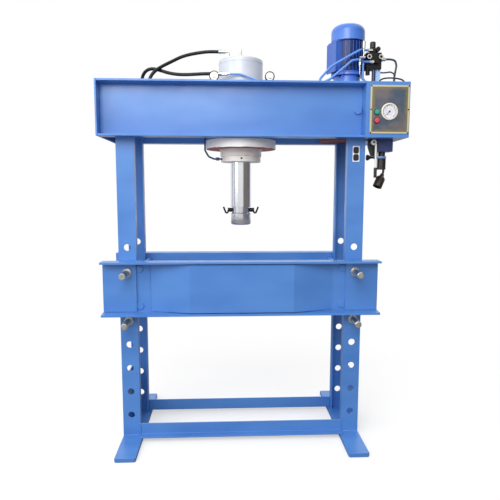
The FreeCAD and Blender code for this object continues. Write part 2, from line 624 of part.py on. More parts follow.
spindle = [("0", "-80"), ("10", "-80"), ("10", "14"), ("25", "14"), ("25", "62"),
           ("shaft_radius", "62"), ("shaft_radius", f"{FLANGE} + flange_thick + 20"),
           ("rotor_radius", f"{FLANGE} + flange_thick + 20"), ("rotor_radius", f"{BODY_TOP} - 30"),
           ("shaft_radius", f"{BODY_TOP} - 30"), ("shaft_radius", f"{BODY_TOP} + 20"),
           ("26", f"{BODY_TOP} + 20"), ("26", f"{BODY_TOP} + 46"), ("0", f"{BODY_TOP} + 46")]
spindle_body = turned("motor_spindle", spindle, AXIS)
blade = block("fan_blade", ("motor_x + 20", "-1.5", f"{LID_TOP} + {BODY_TOP} + 20"),
              ("fan_radius - 20", "3", "26"))
doc.recompute()
blades = []
for i in range(9):
    shape = blade.Shape.copy()
    shape.rotate(Vector(value("motor_x"), 0, 0), Vector(0, 0, 1), 40 * i)
    blades.append(shape)
keep(fuse("motor_rotor", [spindle_body, made("fan_blades", Part.makeCompound(blades))]))

pump_shell = turned("pump_shell", [("10 + run_play", "0"), ("pump_radius + 8", "0"),
                                   ("pump_radius + 8", "-10"), ("pump_radius", "-10"),
                                   ("pump_radius", "-pump_deep"), ("12", "-pump_deep"),
                                   ("12", "-pump_deep - 70"), ("8", "-pump_deep - 70"),
                                   ("8", "-90"), ("10 + run_play", "-90")],
                    ("motor_x", "0", BEAM_TOP))
keep(pump_shell)
pump_shell.Label = "oil_pump"

# the terminal box stands on the motor's side, turned a little to the front
TERMINAL_LOW = f"{LID_TOP} + {FLANGE} + flange_thick + 3"
terminal_case = block("terminal_case", ("-(terminal_out - terminal_lid)", "-terminal_half", TERMINAL_LOW),
                      ("terminal_out - terminal_lid", "2*terminal_half", "terminal_tall"))
terminal_cover = block("terminal_cover", ("-terminal_out", "-(terminal_half + 2)", f"{TERMINAL_LOW} - 8"),
                       ("terminal_lid", "2*terminal_half + 4", "terminal_tall - 2"))
terminal_room = rod("terminal_room", "motor_core + rest_gap", "2*motor_tall", ("0", "0", LID_TOP))
terminal_box = cut("terminal_box", fuse("terminal_blank", [terminal_case, terminal_cover]), [terminal_room])
keep(place(terminal_box, ("motor_x", "0", "0"), Rotation(Vector(0, 0, 1), value("terminal_turn"))))

# ---- valve block on its post ---------------------------------------------------------------

post_outer = block("post_outer", ("post_x - post_side/2", "-(valve_y + post_side/2)", BEAM_TOP),
                   ("post_side", "post_side", f"valve_bottom - ({BEAM_TOP})"))
post_inner = block("post_inner", ("post_x - post_side/2 + 3", "-(valve_y + post_side/2 - 3)", BEAM_TOP),
                   ("post_side - 6", "post_side - 6", f"valve_bottom - ({BEAM_TOP})"))
keep(cut("valve_post", post_outer, [post_inner]))

VALVE_FRONT = "-(valve_y + valve_deep/2)"
VALVE_TOP = "valve_bottom + valve_tall"
valve_core = block("valve_core", ("valve_left", VALVE_FRONT, "valve_bottom"),
                   ("valve_wide", "valve_deep", "valve_tall"))
KNOB_X = "valve_left + 45"
PORT_Z = "valve_bottom + 67"
valve_parts = [
    valve_core,
    rod("valve_port_left", "14.5", "14", ("valve_left + 12", f"{VALVE_FRONT} - 14", PORT_Z), "y"),
    rod("valve_port_right", "14.5", "14", ("valve_left + 83", f"{VALVE_FRONT} - 14", PORT_Z), "y"),
    rod("valve_cartridge", "14", "26",
        ("valve_left + 58", f"{VALVE_FRONT} - 26", "valve_bottom + 42"), "y"),
    rod("valve_turret", "20", "28", (KNOB_X, "-valve_y", VALVE_TOP)),
    rod("valve_bonnet", "14", "46", ("valve_left + 69", f"{VALVE_FRONT} - 4", f"{VALVE_TOP} + 20"), "y"),
    rod("valve_plug", "13", "33", ("valve_left + 13", "-(valve_y + 15)", "valve_bottom - 33")),
    block("valve_lug", ("valve_left + 36", f"{VALVE_FRONT} - 4", VALVE_TOP), ("16", "24", "24"))]
valve_blank = fuse("valve_fused", valve_parts)
keep(cut("valve_block", valve_blank, [rod("knob_bore", "5 + run_play", "24",
                                             (KNOB_X, "-valve_y", f"{VALVE_TOP} + 5"))]))
knob = [("0", "0"), ("5", "0"), ("5", "26"), ("17", "26"), ("17", "57"), ("14", "61"), ("0", "61")]
keep(turned("relief_knob", knob, (KNOB_X, "-valve_y", f"{VALVE_TOP} + 8")))

# ---- pipes of the power pack ---------------------------------------------------------------

PIPE_Y = "-(column_depth/2 - 17)"
UPPER_NUT = ("valve_left + 8", f"{VALVE_FRONT} + 5", f"{VALVE_TOP} + 14")
LOWER_NUT = ("valve_left + 14", f"{VALVE_FRONT} - 12", "valve_bottom + 38")
upper_route = [UPPER_NUT, ("738", UPPER_NUT[1], UPPER_NUT[2]), ("708", "-126", "2384"),
               ("635", "-130", "2343"), ("566", "-130", "2304"), ("529", "-130", "2279"),
               ("473", "-132", "2217"), ("452", "-142", "2160"), ("430", PIPE_Y, "2120"),
               ("-upper_hose_x", PIPE_Y, "2120"), ("-upper_hose_x", PIPE_Y, "2140")]
lower_route = [LOWER_NUT, ("738", LOWER_NUT[1], LOWER_NUT[2]), ("694", "-126", "2328"),
               ("660", "-130", "2321"), ("600", "-130", "2270"), ("538", "-108", "2219"),
               ("500", "-106", "2200"), ("470", "-108", "2160"), ("452", "-138", "2112"),
               ("430", PIPE_Y, "2095"), ("-560", PIPE_Y, "2095"), ("-lower_hose_x", "-60", "2095"),
               ("-lower_hose_x", "-60", "2135")]
branch_route = [("735", LOWER_NUT[1], LOWER_NUT[2]), ("735", LOWER_NUT[1], "2225"),
                ("748", LOWER_NUT[1], "2207"), ("768", LOWER_NUT[1], "2201"),
                ("768", LOWER_NUT[1], LID_TOP)]
lower_pipe = pipe(lower_route, "pipe_radius", 22).fuse(pipe(branch_route, "pipe_radius - 1", 12))
keep(made("blue_pipes", Part.makeCompound([pipe(upper_route, "pipe_radius", 26), lower_pipe])))

gauge_line = [("valve_left + valve_wide + 34", "-valve_y", "valve_bottom + 65"),
              ("914", "-valve_y", "valve_bottom + 65"), ("945", "-valve_y", "2342"),
              ("953", "-valve_y", "2310"), ("945", "-valve_y", "2260"), ("941", "-valve_y", "2225"),
              ("941", "-valve_y", BEAM_TOP)]
return_line = [("post_x + post_side/2", "-valve_y - 6", "2267"), ("880", "-valve_y - 6", "2267"),
               ("906", "-88", "2267"), ("926", "-96", "2258"), ("932", "-98", "2225"),
               ("932", "-98", BEAM_TOP)]
riser = Part.makeCylinder(11.5, value(f"valve_bottom - ({BEAM_TOP})"),
                          point(("valve_left + 50", "-(valve_y + 15)", BEAM_TOP)))
keep(made("gauge_pipes", Part.makeCompound([pipe(gauge_line, "dark_radius", 22),
                                            pipe(return_line, "thin_radius", 16), riser])))

upper_nut = hexagon(UPPER_NUT, 17, 28, "x")
lower_nut = hexagon(LOWER_NUT, 17, 20, "x").fuse(
    Part.makeCylinder(8, 21, point(("valve_left + 34", f"{VALVE_FRONT} - 21", LOWER_NUT[2])),
                      Vector(0, 1, 0)))
coupling = hexagon(("valve_left + valve_wide", "-valve_y", "valve_bottom + 65"), 26, 16, "x").fuse(
    hexagon(("valve_left + valve_wide + 16", "-valve_y", "valve_bottom + 65"), 20, 18, "x"))
drain = pipe([("705", "-144", "2336"), ("705", "-144", "2240"), ("724", "-138", "2205"),
              ("724", "-138", LID_TOP)], "3", 14)
drain_tee = Part.makeCylinder(7.5, 34, point(("701", "-144", "2336")), Vector(1, 0, 0))
breather = Part.makeCylinder(3.5, 60, point(("726", "-144", "2336"))).fuse(
    Part.makeCylinder(9, 40, point(("726", "-144", "2389"))))
drain = drain.fuse([drain_tee, breather, Part.makeCylinder(8.5, 18, point(("705", "-144", "2290")))])
fittings = [hexagon(("valve_left + 12", f"{VALVE_FRONT} - 22", PORT_Z), 27, 8, "y", 8),
            hexagon(("valve_left + 83", f"{VALVE_FRONT} - 22", PORT_Z), 27, 8, "y", 8),
            upper_nut, lower_nut, coupling, drain]
keep(made("valve_fittings", Part.makeCompound(fittings)))

# black cable that loops over the end box, from one gland to the other
cable_route = [(812, -186, 2173), (812, -186, 2194), (833, -186, 2207), (868, -187, 2211),
               (904, -187, 2210), (940, -186, 2205), (964, -186, 2193), (964, -186, 2173)]
cable_low = value(BEAM_TOP)
motor_cable = cord("motor_cable", [(x, y, z + cable_low - 2173) for x, y, z in cable_route],
                   "thin_radius")
keep(motor_cable)

# ---- cylinder and carriage -----------------------------------------------------------------

DISC_TOP = "beam_bottom - disc_gap"
DISC_LOW = f"{DISC_TOP} - disc_thick"
GLAND_LOW = f"{DISC_LOW} - gland_tall"
RING_LOW = f"{GLAND_LOW} - ring_tall"
CAP_LOW = "drum_top - cap_thick"
tube = [("bore_radius", DISC_LOW), ("tube_radius", DISC_LOW), ("tube_radius", CAP_LOW),
        ("bore_radius", CAP_LOW)]
keep(turned("cylinder_tube", tube))
cap = turned("cylinder_cap", [("0", CAP_LOW), ("tube_radius", CAP_LOW), ("tube_radius", "drum_top"),
                              ("0", "drum_top")])
keep(soften(cap, "Fillet", "cap_round", circle_at("drum_top", "tube_radius")))
DISC_OUT = "(column_depth/2 + disc_lap)"
disc = turned("cylinder_flange", [("tube_radius + weld_gap", DISC_LOW), (DISC_OUT, DISC_LOW),
                                  (DISC_OUT, DISC_TOP), ("tube_radius + weld_gap", DISC_TOP)])
keep(soften(disc, "Fillet", "5", lambda e: isinstance(e.Curve, Part.Circle)
            and abs(e.Curve.Radius - value(DISC_OUT)) < 0.01))

ROD_BORE = "rod_radius + run_play"
gland = [(ROD_BORE, RING_LOW), ("ring_radius - 3", RING_LOW), ("ring_radius", f"{RING_LOW} + 3"),
         ("ring_radius", f"{GLAND_LOW} - 3"), ("ring_radius - 2", f"{GLAND_LOW} - 3"),
         ("ring_radius - 2", GLAND_LOW), ("gland_radius - 1", GLAND_LOW),
         ("gland_radius", f"{GLAND_LOW} + 2"), ("gland_radius", DISC_LOW), (ROD_BORE, DISC_LOW)]
gland_blank = turned("gland_blank", gland)
SPANNER_Z = f"{GLAND_LOW} - 16"
keep(cut("rod_gland", gland_blank, [
    rod("spanner_hole", "6", "16", ("0", "-(ring_radius + 1)", SPANNER_Z), "y"),
    rod("spanner_hole_left", "6", "16", ("-(ring_radius + 1)", "0", SPANNER_Z), "x"),
    rod("spanner_hole_right", "6", "16", ("ring_radius - 15", "0", SPANNER_Z), "x"),
    rod("spanner_hole_back", "6", "16", ("0", "ring_radius - 15", SPANNER_Z), "y")]))

AXLE_Z = f"{BEAM_TOP} + roller_radius + rest_gap"
PLATE_X, PLATE_Y = "(tube_radius + plate_side)", "(tube_radius + plate_margin)"
plate_blank = prism("carriage_blank", "XY", boxed(f"-{PLATE_X}", PLATE_X, f"-{PLATE_Y}", PLATE_Y),
                    "plate_thick",
                    ("0", "0", "plate_bottom"), [("0", "0", "tube_radius + weld_gap")])


def lug(side, face):
    """An upright ear at a corner of the plate, narrower at its top round the axle."""
    start = f"-({PLATE_Y} + lug_thick)" if face < 0 else PLATE_Y
    outward = [("lug_half", "plate_bottom"), ("lug_half", "plate_bottom + 44"), ("9", f"{AXLE_Z} + 14")]
    outline = [(f"{side}*roller_x + {x}", z) for x, z in outward]
    outline += [(f"{side}*roller_x - {x}", z) for x, z in reversed(outward)]
    return prism("lug", "XZ", outline, "lug_thick", ("0", start, "0"),
                 [(f"{side}*roller_x", AXLE_Z, "axle_radius + run_play")])


keep(fuse("carriage_plate", [plate_blank] + [lug(s, f) for s in (-1, 1) for f in (-1, 1)]))

axle = [("0", "0"), ("axle_head", "0"), ("axle_head", "7"), ("axle_radius", "7"),
        ("axle_radius", "100"), ("0", "100")]
AXLE_HEAD = "roller_y + roller_wide/2 + 8"


def axle_bolt(side, face):
    piece = turned("axle_bolt", axle, (f"{side}*roller_x", f"{face}*({AXLE_HEAD})", AXLE_Z), "y")
    if face > 0:
        place(piece, (f"{side}*roller_x", AXLE_HEAD, AXLE_Z), Rotation(Vector(1, 0, 0), 90))
    return piece


keep(group("roller_axles", [axle_bolt(s, f) for s in (-1, 1) for f in (-1, 1)]))

WELL = "roller_radius - tread"
roller = [("axle_radius + run_play", "0"), ("axle_head", "0"), ("axle_head", "1.5"), (WELL, "1.5"),
          (WELL, "0"), ("roller_radius - 1", "0"), ("roller_radius", "1"),
          ("roller_radius", "roller_wide - 1"), ("roller_radius - 1", "roller_wide"),
          (WELL, "roller_wide"), (WELL, "roller_wide - 1.5"), ("axle_head", "roller_wide - 1.5"),
          ("axle_head", "roller_wide"), ("axle_radius + run_play", "roller_wide")]
for side, name in ((-1, "left"), (1, "right")):
    keep(group(f"rollers_{name}", [
        turned("roller", roller, (f"{side}*roller_x", start, AXLE_Z), "y")
        for start in ("-(roller_y + roller_wide/2)", "roller_y - roller_wide/2")]))

# fittings on the cylinder: ferrule and elbow on the cap, a bleed nipple, ferrule and nuts in front
FIT_Y = "-60"
elbow = pipe([("-94", FIT_Y, "2378"), ("-74", FIT_Y, "2378"), ("-74", FIT_Y, "drum_top")],
             "thin_radius + 1", 14)
top_ferrule = Part.makeCylinder(value("ferrule_radius"), 42, point(("-136", FIT_Y, "2378")),
                                Vector(1, 0, 0))
top_seat = Part.makeCylinder(12, 8, point(("-74", FIT_Y, "drum_top")))
nipple = Part.makeCylinder(7, 60, point(("-4", "-20", "drum_top")))
nipple_nut = hexagon(("-4", "-20", "drum_top"), 24, 16)
LOW_Y, LOW_Z = "-(tube_radius + 15)", "2230"
low_ferrule = Part.makeCylinder(value("ferrule_radius"), 40, point(("-160", LOW_Y, LOW_Z)),
                                Vector(1, 0, 0))
low_nuts = [hexagon(("-120", LOW_Y, LOW_Z), 19, 16, "x"), hexagon(("-100", LOW_Y, LOW_Z), 19, 14, "x"),
            Part.makeCylinder(6.5, 34, point(("-104", LOW_Y, LOW_Z)), Vector(1, 0, 0))]
top_fitting = elbow.fuse([top_ferrule, top_seat])
low_fitting = low_ferrule.fuse(low_nuts)
keep(made("cylinder_fittings", Part.makeCompound([top_fitting, nipple.fuse(nipple_nut), low_fitting])))

PIPE_FRONT, PIPE_SIDE = "-(tube_radius + 13)", f"-({DISC_OUT} + 5)"
cylinder_route = [("-70", LOW_Y, LOW_Z), ("-8", LOW_Y, LOW_Z), ("72", PIPE_FRONT, "2204"),
                  ("96", PIPE_FRONT, "2180"), ("98", PIPE_FRONT, "2100"), ("60", PIPE_FRONT, "2040"),
                  ("-180", PIPE_FRONT, "1985"), (f"{PIPE_SIDE} - 5", "-110", "1940"),
                  (PIPE_SIDE, "-46", "1890"), (PIPE_SIDE, "-42", "1795"), ("-201", "-40", "1757"),
                  ("-168", "-40", "1743"),
                  ("-(ring_radius - 8)", "-40", "1743")]
gland_nut = hexagon(("-156", "-40", "1743"), 17, 22, "x")
gland_line = pipe(cylinder_route, "thin_radius + 1", 24).fuse(gland_nut)
ring_solid = Part.makeCylinder(value("ring_radius") + 0.2, 60, point(("0", "0", f"{RING_LOW} - 5")))
keep(made("gland_pipe", gland_line.cut(ring_solid)))

# ---- ram -----------------------------------------------------------------------------------

ram = [("0", "rod_bottom - peg_long"), ("peg_radius", "rod_bottom - peg_long"),
       ("peg_radius", "rod_bottom"), ("rod_radius - 2", "rod_bottom"), ("rod_radius", "rod_bottom + 2"),
       ("rod_radius", "piston_bottom"), ("spigot_radius", "piston_bottom"),
       ("spigot_radius", "piston_bottom + piston_tall"), ("0", "piston_bottom + piston_tall")]
keep(turned("ram_rod", ram))
PISTON_IN = "spigot_radius + run_play"
PISTON_OUT = "bore_radius - run_play"
piston = [(PISTON_IN, "piston_bottom"), (PISTON_OUT, "piston_bottom"),
          (PISTON_OUT, "piston_bottom + 20"), (f"{PISTON_OUT} - 6", "piston_bottom + 20"),
          (f"{PISTON_OUT} - 6", "piston_bottom + 40"), (PISTON_OUT, "piston_bottom + 40"),
          (PISTON_OUT, "piston_bottom + piston_tall"), (PISTON_IN, "piston_bottom + piston_tall")]
keep(turned("piston", piston))
NOSE_LOW = "rod_bottom - nose_tall"
NECK_LOW = "rod_bottom - neck_tall"
nose = [("0", NOSE_LOW), ("head_radius - 11", NOSE_LOW), ("head_radius - 5", f"{NOSE_LOW} + 2"),
        ("head_radius - 1", f"{NOSE_LOW} + 7"), ("head_radius", f"{NOSE_LOW} + 13"),
        ("head_radius", f"{NECK_LOW} - 26"), ("head_radius - 2", f"{NECK_LOW} - 25"),
        ("head_radius - 2", f"{NECK_LOW} - 21"), ("head_radius", f"{NECK_LOW} - 20"),
        ("head_radius", f"{NECK_LOW} - 7"), ("neck_radius", NECK_LOW), ("neck_radius", "rod_bottom"),
        ("peg_radius + run_play", "rod_bottom"), ("peg_radius + run_play", "rod_bottom - peg_long - 2"),
        ("0", "rod_bottom - peg_long - 2")]
nose_blank = turned("nose_blank", nose)
SCREW_Z = "rod_bottom - 19"
keep(cut("ram_nose", nose_blank, [
    rod("screw_bore_left", "7 + run_play", "40", ("-(neck_radius + 2)", "0", SCREW_Z), "x"),
    rod("screw_bore_right", "7 + run_play", "40", ("neck_radius - 38", "0", SCREW_Z), "x")]))


def wing_screw(label, side):
    """A clamping screw through the nose, with a bent bar for a handle."""
    def away(x, z):
        return Vector(side * x, 0, value(SCREW_Z) + z)
    inner, outer = value("peg_radius + 1"), value("neck_radius")
    shank = Part.makeCylinder(7, outer + 4 - inner, away(inner, 0), Vector(side, 0, 0))
    head = Part.makeCylinder(13, 28, away(outer + 0.5, 0), Vector(side, 0, 0))
    bar, _, _ = swept([away(outer + 22, 2), away(outer + 29, -19), away(outer + 40, -19),
                       away(outer + 55, 19)], 5.5)
    return made(label, shank.fuse([head, bar]))


keep(wing_screw("wing_screw_left", -1))
keep(wing_screw("wing_screw_right", 1))

# ---- hoses ---------------------------------------------------------------------------------

# the first points follow the pipe inside the beam, the last ones the fitting on the cylinder
rear, front = value(PIPE_Y), value(LOW_Y)
upper_hose_route = [(-540, rear, 2140), (-540, rear, 2168), (-535, rear, 2193),
                    (-524, -164, 2217), (-506, -156, 2240), (-480, -142, 2262),
                    (-448, -124, 2285), (-408, -102, 2310), (-362, -84, 2338),
                    (-314, -72, 2356), (-262, -65, 2368), (-205, -61, 2377), (-165, -60, 2378),
                    (-136, -60, 2378)]
lower_hose_route = [(-596, -60, 2135), (-596, -60, 2168), (-597, -64, 2197), (-592, -74, 2224),
                    (-576, -88, 2248), (-550, -102, 2262), (-516, -114, 2263),
                    (-474, -128, 2249), (-430, -139, 2234), (-385, -146, 2225),
                    (-330, front + 1, 2223), (-270, front, 2226), (-215, front, 2230),
                    (-160, front, 2230)]
keep(cord("hose_upper", upper_hose_route, "hose_radius"))
keep(cord("hose_lower", lower_hose_route, "hose_radius"))

# ---- hand valve and plug under the end box --------------------------------------------------

HAND_FRONT = "-(hand_y + hand_deep/2)"
hand_block = block("hand_block", ("hand_left", HAND_FRONT, "beam_bottom - hand_tall"),
                   ("hand_wide", "hand_deep", "hand_tall"))
cheek_outline = [("cheek_left", "beam_bottom"), ("hand_left", "beam_bottom"),
                 ("hand_left", "knob_z + 8"), ("cheek_left + 20", "knob_z + 8"),
                 ("cheek_left", "beam_bottom - 42")]
hand_cheek = prism("hand_cheek", "XZ", cheek_outline, "hand_deep - 20", ("0", f"{HAND_FRONT} + 6", "0"))
hand_neck = rod("hand_neck", "21", "beam_bottom - hand_tall - (knob_z - 6)",
                ("stem_x", "-hand_y", "knob_z - 6"))
hand_stem = rod("hand_stem", "26", "knob_z - 6 - stem_bottom", ("stem_x", "-hand_y", "stem_bottom"))
hand_collar = rod("hand_collar", "collar_side", "13", ("collar_x", "-hand_y", "knob_z - 6"))
hand_boss = rod("hand_boss", "18", "10", ("pivot_x", f"{HAND_FRONT} - 4", "pivot_z"), "y")
hand_pin = rod("hand_pin", "6", "lever_y + 12 - hand_y - 30",
               ("pivot_x", "-(lever_y + 12)", "pivot_z"), "y")
hand_fused = fuse("hand_fused", [hand_block, hand_cheek, hand_neck, hand_stem, hand_collar, hand_boss,
                                 hand_pin])
keep(cut("hand_valve", hand_fused, [rod("lock_bore", "6 + run_play", "848 - (collar_x - collar_side - 1)",
                                        ("collar_x - collar_side - 1", "-hand_y", "knob_z"), "x")]))
lock = [("0", "0"), ("knob_radius - 3", "0"), ("knob_radius", "4"), ("knob_radius - 2", "14"),
        ("9", "22"), ("6", "30"), ("6", "82"), ("0", "82")]
keep(turned("lock_knob", lock, ("763", "-hand_y", "knob_z"), "x"))

LEVER_X = "pivot_x + lever_aside"
hub = Part.makeCylinder(16, 16, point(("pivot_x", "-(lever_y + 8)", "pivot_z")), Vector(0, 1, 0))
hub = hub.cut(Part.makeCylinder(value("6 + run_play"), 16,
                                point(("pivot_x", "-(lever_y + 8)", "pivot_z")), Vector(0, 1, 0)))
arm = Part.makeCylinder(value("lever_radius"), value("pivot_z - 8 - lever_bottom - grip_long"),
                        point((LEVER_X, "-lever_y", "lever_bottom + grip_long")))
grip = Part.makeCylinder(value("grip_radius"), value("grip_long"),
                         point((LEVER_X, "-lever_y", "lever_bottom")))
keep(made("valve_lever", hub.fuse([arm, grip])))

lead_route = [(866, -60, 1857), (866, -60, 1812), (867, -64, 1768), (872, -74, 1726),
              (881, -86, 1692), (884, -94, 1668), (876, -98, 1651)]
lead_drop = value("beam_bottom") - 1857
lead_points = [(x, y, z + lead_drop) for x, y, z in lead_route]
keep(cord("plug_lead", lead_points, "lead_radius"))
plug_top = Vector(*lead_points[-1])
plug_way = plug_top - Vector(*lead_points[-2])
plug_way.normalize()
plug_turn = Rotation(Vector(0, 0, 1), plug_way)
plug = turned("plug_blank", [("lead_radius", "0"), ("11", "0"), ("14", "14"), ("plug_radius - 5", "22"),
                             ("plug_radius", "30"), ("plug_radius", "plug_long"),
                             ("plug_radius - 4", "plug_long"), ("plug_radius - 4", "plug_long - 26"),
                             ("0", "plug_long - 26"), ("0", "8"), ("lead_radius", "8")])
place(plug, [f"{number:.3f}" for number in plug_top], plug_turn)
plug.Label = "hanging_plug"
keep(plug)

# ---- fasteners -----------------------------------------------------------------------------

flange_bolts = []
for turn_step in range(4):
    turn = math.radians(45 + 90 * turn_step)
    x = f"motor_x + (bell_radius + flange_radius)/2*{math.cos(turn):.6f}"
    y = f"(bell_radius + flange_radius)/2*{math.sin(turn):.6f}"
    flange_bolts.append(rod("flange_bolt", "8", "9", (x, y, f"{LID_TOP} + bell_tall - 19")))
keep(group("fasteners", panel_screws + flange_bolts))

# ---- check and write -----------------------------------------------------------------------

doc.recompute()
failed = [o.Label for o in doc.Objects if {"Invalid", "Error"} & set(o.State)]
failed += [p.Label for p in nodes if p.Shape.isNull() or not p.Shape.isValid() or not p.Shape.Solids]
if failed:
    raise RuntimeError(f"failed pieces: {failed}")
os.makedirs("parts", exist_ok=True)
for piece in nodes:
    piece.Shape.exportStep(f"parts/{piece.Label}.step")
print(len(nodes), "pieces written")
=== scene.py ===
import json
import math

import bmesh
import bpy
import numpy as np
from mathutils import Matrix, Vector


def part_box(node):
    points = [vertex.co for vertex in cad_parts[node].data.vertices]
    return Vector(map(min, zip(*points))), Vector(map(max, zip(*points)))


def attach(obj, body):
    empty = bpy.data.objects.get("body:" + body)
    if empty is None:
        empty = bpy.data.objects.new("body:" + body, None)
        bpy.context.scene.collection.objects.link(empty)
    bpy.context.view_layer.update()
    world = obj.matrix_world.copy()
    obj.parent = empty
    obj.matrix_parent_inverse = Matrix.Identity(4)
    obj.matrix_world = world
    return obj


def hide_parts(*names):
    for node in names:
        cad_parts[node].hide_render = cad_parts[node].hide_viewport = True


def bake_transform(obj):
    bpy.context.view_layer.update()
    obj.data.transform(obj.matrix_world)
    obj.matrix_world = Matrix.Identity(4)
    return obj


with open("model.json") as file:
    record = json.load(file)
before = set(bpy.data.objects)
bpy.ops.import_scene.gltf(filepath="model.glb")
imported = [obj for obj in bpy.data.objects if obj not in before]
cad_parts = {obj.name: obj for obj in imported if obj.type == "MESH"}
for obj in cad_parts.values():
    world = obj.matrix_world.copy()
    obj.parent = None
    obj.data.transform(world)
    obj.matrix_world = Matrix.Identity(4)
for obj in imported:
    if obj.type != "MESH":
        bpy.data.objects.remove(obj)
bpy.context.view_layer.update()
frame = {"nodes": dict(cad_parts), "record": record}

MM = 0.001
# corners this near to each other, in metres, are one, and a face this thin is none
MERGED_WITHIN, SLIVER = 1e-6, 1e-7

# ---- camera ---------------------------------------------------------------------------------

CAMERA_AT = Vector((-94.3, -3236.7, 1553.1)) * MM
LENS, SENSOR = 36.5, 36
NEAREST, FARTHEST = 0.05, 100
# radians: turned to the right, tipped down, and with its right side raised
YAW, PITCH, ROLL = 0.0472, 0.1181, 0.0019


def aim_camera():
    """A camera at chest height: its view runs along YAW to the right and PITCH downwards, and
    ROLL turns it about that view."""
    ahead = Vector((math.sin(YAW), math.cos(YAW), 0))
    right = Vector((math.cos(YAW), -math.sin(YAW), 0))
    up = Vector((0, 0, 1))
    look = ahead * math.cos(PITCH) - up * math.sin(PITCH)
    rise = up * math.cos(PITCH) + ahead * math.sin(PITCH)
    side = right * math.cos(ROLL) + rise * math.sin(ROLL)
    top = rise * math.cos(ROLL) - right * math.sin(ROLL)
    lens = bpy.data.cameras.new("camera")
    lens.lens, lens.sensor_width = LENS, SENSOR
    lens.clip_start, lens.clip_end = NEAREST, FARTHEST
    stand = bpy.data.objects.new("camera", lens)
    turn = Matrix((side, top, -look)).transposed().to_4x4()
    stand.matrix_world = Matrix.Translation(CAMERA_AT) @ turn
    bpy.context.collection.objects.link(stand)
    bpy.context.scene.camera = stand


aim_camera()

# ---- surfaces -------------------------------------------------------------------------------


def surface(name, points, around=False, along=False, uv=None, smooth_below=35):
    """A mesh over a grid of points (rows, columns, 3).  around joins the last column to the
    first, along the last row to the first.  uv is the pattern's length round and along the
    piece, in metres."""
    rows, columns = points.shape[:2]
    a, b = np.meshgrid(np.arange(rows if along else rows - 1),
                       np.arange(columns if around else columns - 1), indexing="ij")
    c, d = (a + 1) % rows, (b + 1) % columns
    quads = np.stack([a * columns + b, a * columns + d, c * columns + d, c * columns + b], -1)
    mesh = bpy.data.meshes.new(name)
    mesh.from_pydata(points.reshape(-1, 3).tolist(), [], quads.reshape(-1, 4).tolist())
    if uv is not None:
        wide, long = uv
        corners = np.stack([np.stack([a, b], -1), np.stack([a, b + 1], -1),
                            np.stack([a + 1, b + 1], -1), np.stack([a + 1, b], -1)], -2)
        spots = corners.reshape(-1, 2) / [max(rows - 1, 1), columns if around else columns - 1]
        layer = mesh.uv_layers.new(name="along")
        layer.data.foreach_set("uv", (spots[:, ::-1] * [wide, long]).astype(np.float32).ravel())
    return finished(name, mesh, smooth_below)


def finished(name, mesh, smooth_below):
    """Closes poles and seams, turns the faces outwards and keeps edges over an angle sharp."""
    work = bmesh.new()
    work.from_mesh(mesh)
    bmesh.ops.remove_doubles(work, verts=work.verts, dist=MERGED_WITHIN)
    bmesh.ops.dissolve_degenerate(work, dist=SLIVER, edges=work.edges)
    bmesh.ops.recalc_face_normals(work, faces=work.faces)
    work.to_mesh(mesh)
    work.free()
    mesh.shade_smooth()
    mesh.set_sharp_from_angle(angle=math.radians(smooth_below))
    piece = bpy.data.objects.new(name, mesh)
    bpy.context.collection.objects.link(piece)
    return piece


def joined(name, pieces):
    """Several pieces as one object with one mesh."""
    work = bmesh.new()
    for piece in pieces:
        work.from_mesh(piece.data)
        bpy.data.objects.remove(piece)
    mesh = bpy.data.meshes.new(name)
    work.to_mesh(mesh)
    work.free()
    made = bpy.data.objects.new(name, mesh)
    bpy.context.collection.objects.link(made)
    return made


BODY_OF = {node: body for body, nodes in frame["record"]["behaviour"]["bodies"].items()
           for node in nodes}
SLOT_OF = {row["node"]: row["material_slot"] for row in frame["record"]["subparts"]}
# degrees: faces that meet at less are one flat face, and edges that turn by more are broken
FLAT_BELOW, BROKEN_ABOVE = 0.5, 50


def smoothed(node, edge=0.0, sharp_above=32):
    """The node's own shape with its triangles merged, so that round faces shade as round.  An
    edge width in millimetres also breaks the corners of plates and sections."""
    source = frame["nodes"][node].data
    mesh = bpy.data.meshes.new(node + "_finished")
    mesh.from_pydata([v.co for v in source.vertices], [], [f.vertices[:] for f in source.polygons])
    work = bmesh.new()
    work.from_mesh(mesh)
    bmesh.ops.remove_doubles(work, verts=work.verts, dist=MERGED_WITHIN)
    if edge:
        bmesh.ops.dissolve_limit(work, angle_limit=math.radians(FLAT_BELOW),
                                 verts=work.verts, edges=work.edges)
    work.to_mesh(mesh)
    work.free()
    mesh.shade_smooth()
    mesh.set_sharp_from_angle(angle=math.radians(sharp_above))
    piece = bpy.data.objects.new(node + "_finished", mesh)
    bpy.context.collection.objects.link(piece)
    if edge:
        broken = piece.modifiers.new("edges", "BEVEL")
        broken.width, broken.segments = edge * MM, 2
        broken.angle_limit = math.radians(BROKEN_ABOVE)
        broken.harden_normals = True
    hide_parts(node)
    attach(piece, BODY_OF[node])
    return piece


# where a piece's own x, y and z directions go when its axis lies along each of these
AXES = {"x": (1, 2, 0), "y": (2, 0, 1), "z": (0, 1, 2)}


def laid_along(own, axis):
    """Points whose axis is z, with their directions swapped so that it lies along another."""
    return own[..., np.argsort(AXES[axis])]


def turned(name, profile, at, axis="z", steps=64):
    """A turned piece: the profile of (radius, height) goes round an axis through a point.
    Point = at + (radius cos a, radius sin a, height), with the axes swapped for x and y."""
    radius, height = np.array(profile, float).T * MM
    angle = np.linspace(0, 2 * math.pi, steps, endpoint=False)
    own = np.stack([np.outer(radius, np.cos(angle)), np.outer(radius, np.sin(angle)),
                    np.repeat(height[:, None], steps, 1)], -1)
    return surface(name, laid_along(own, axis) + np.array(at), around=True)


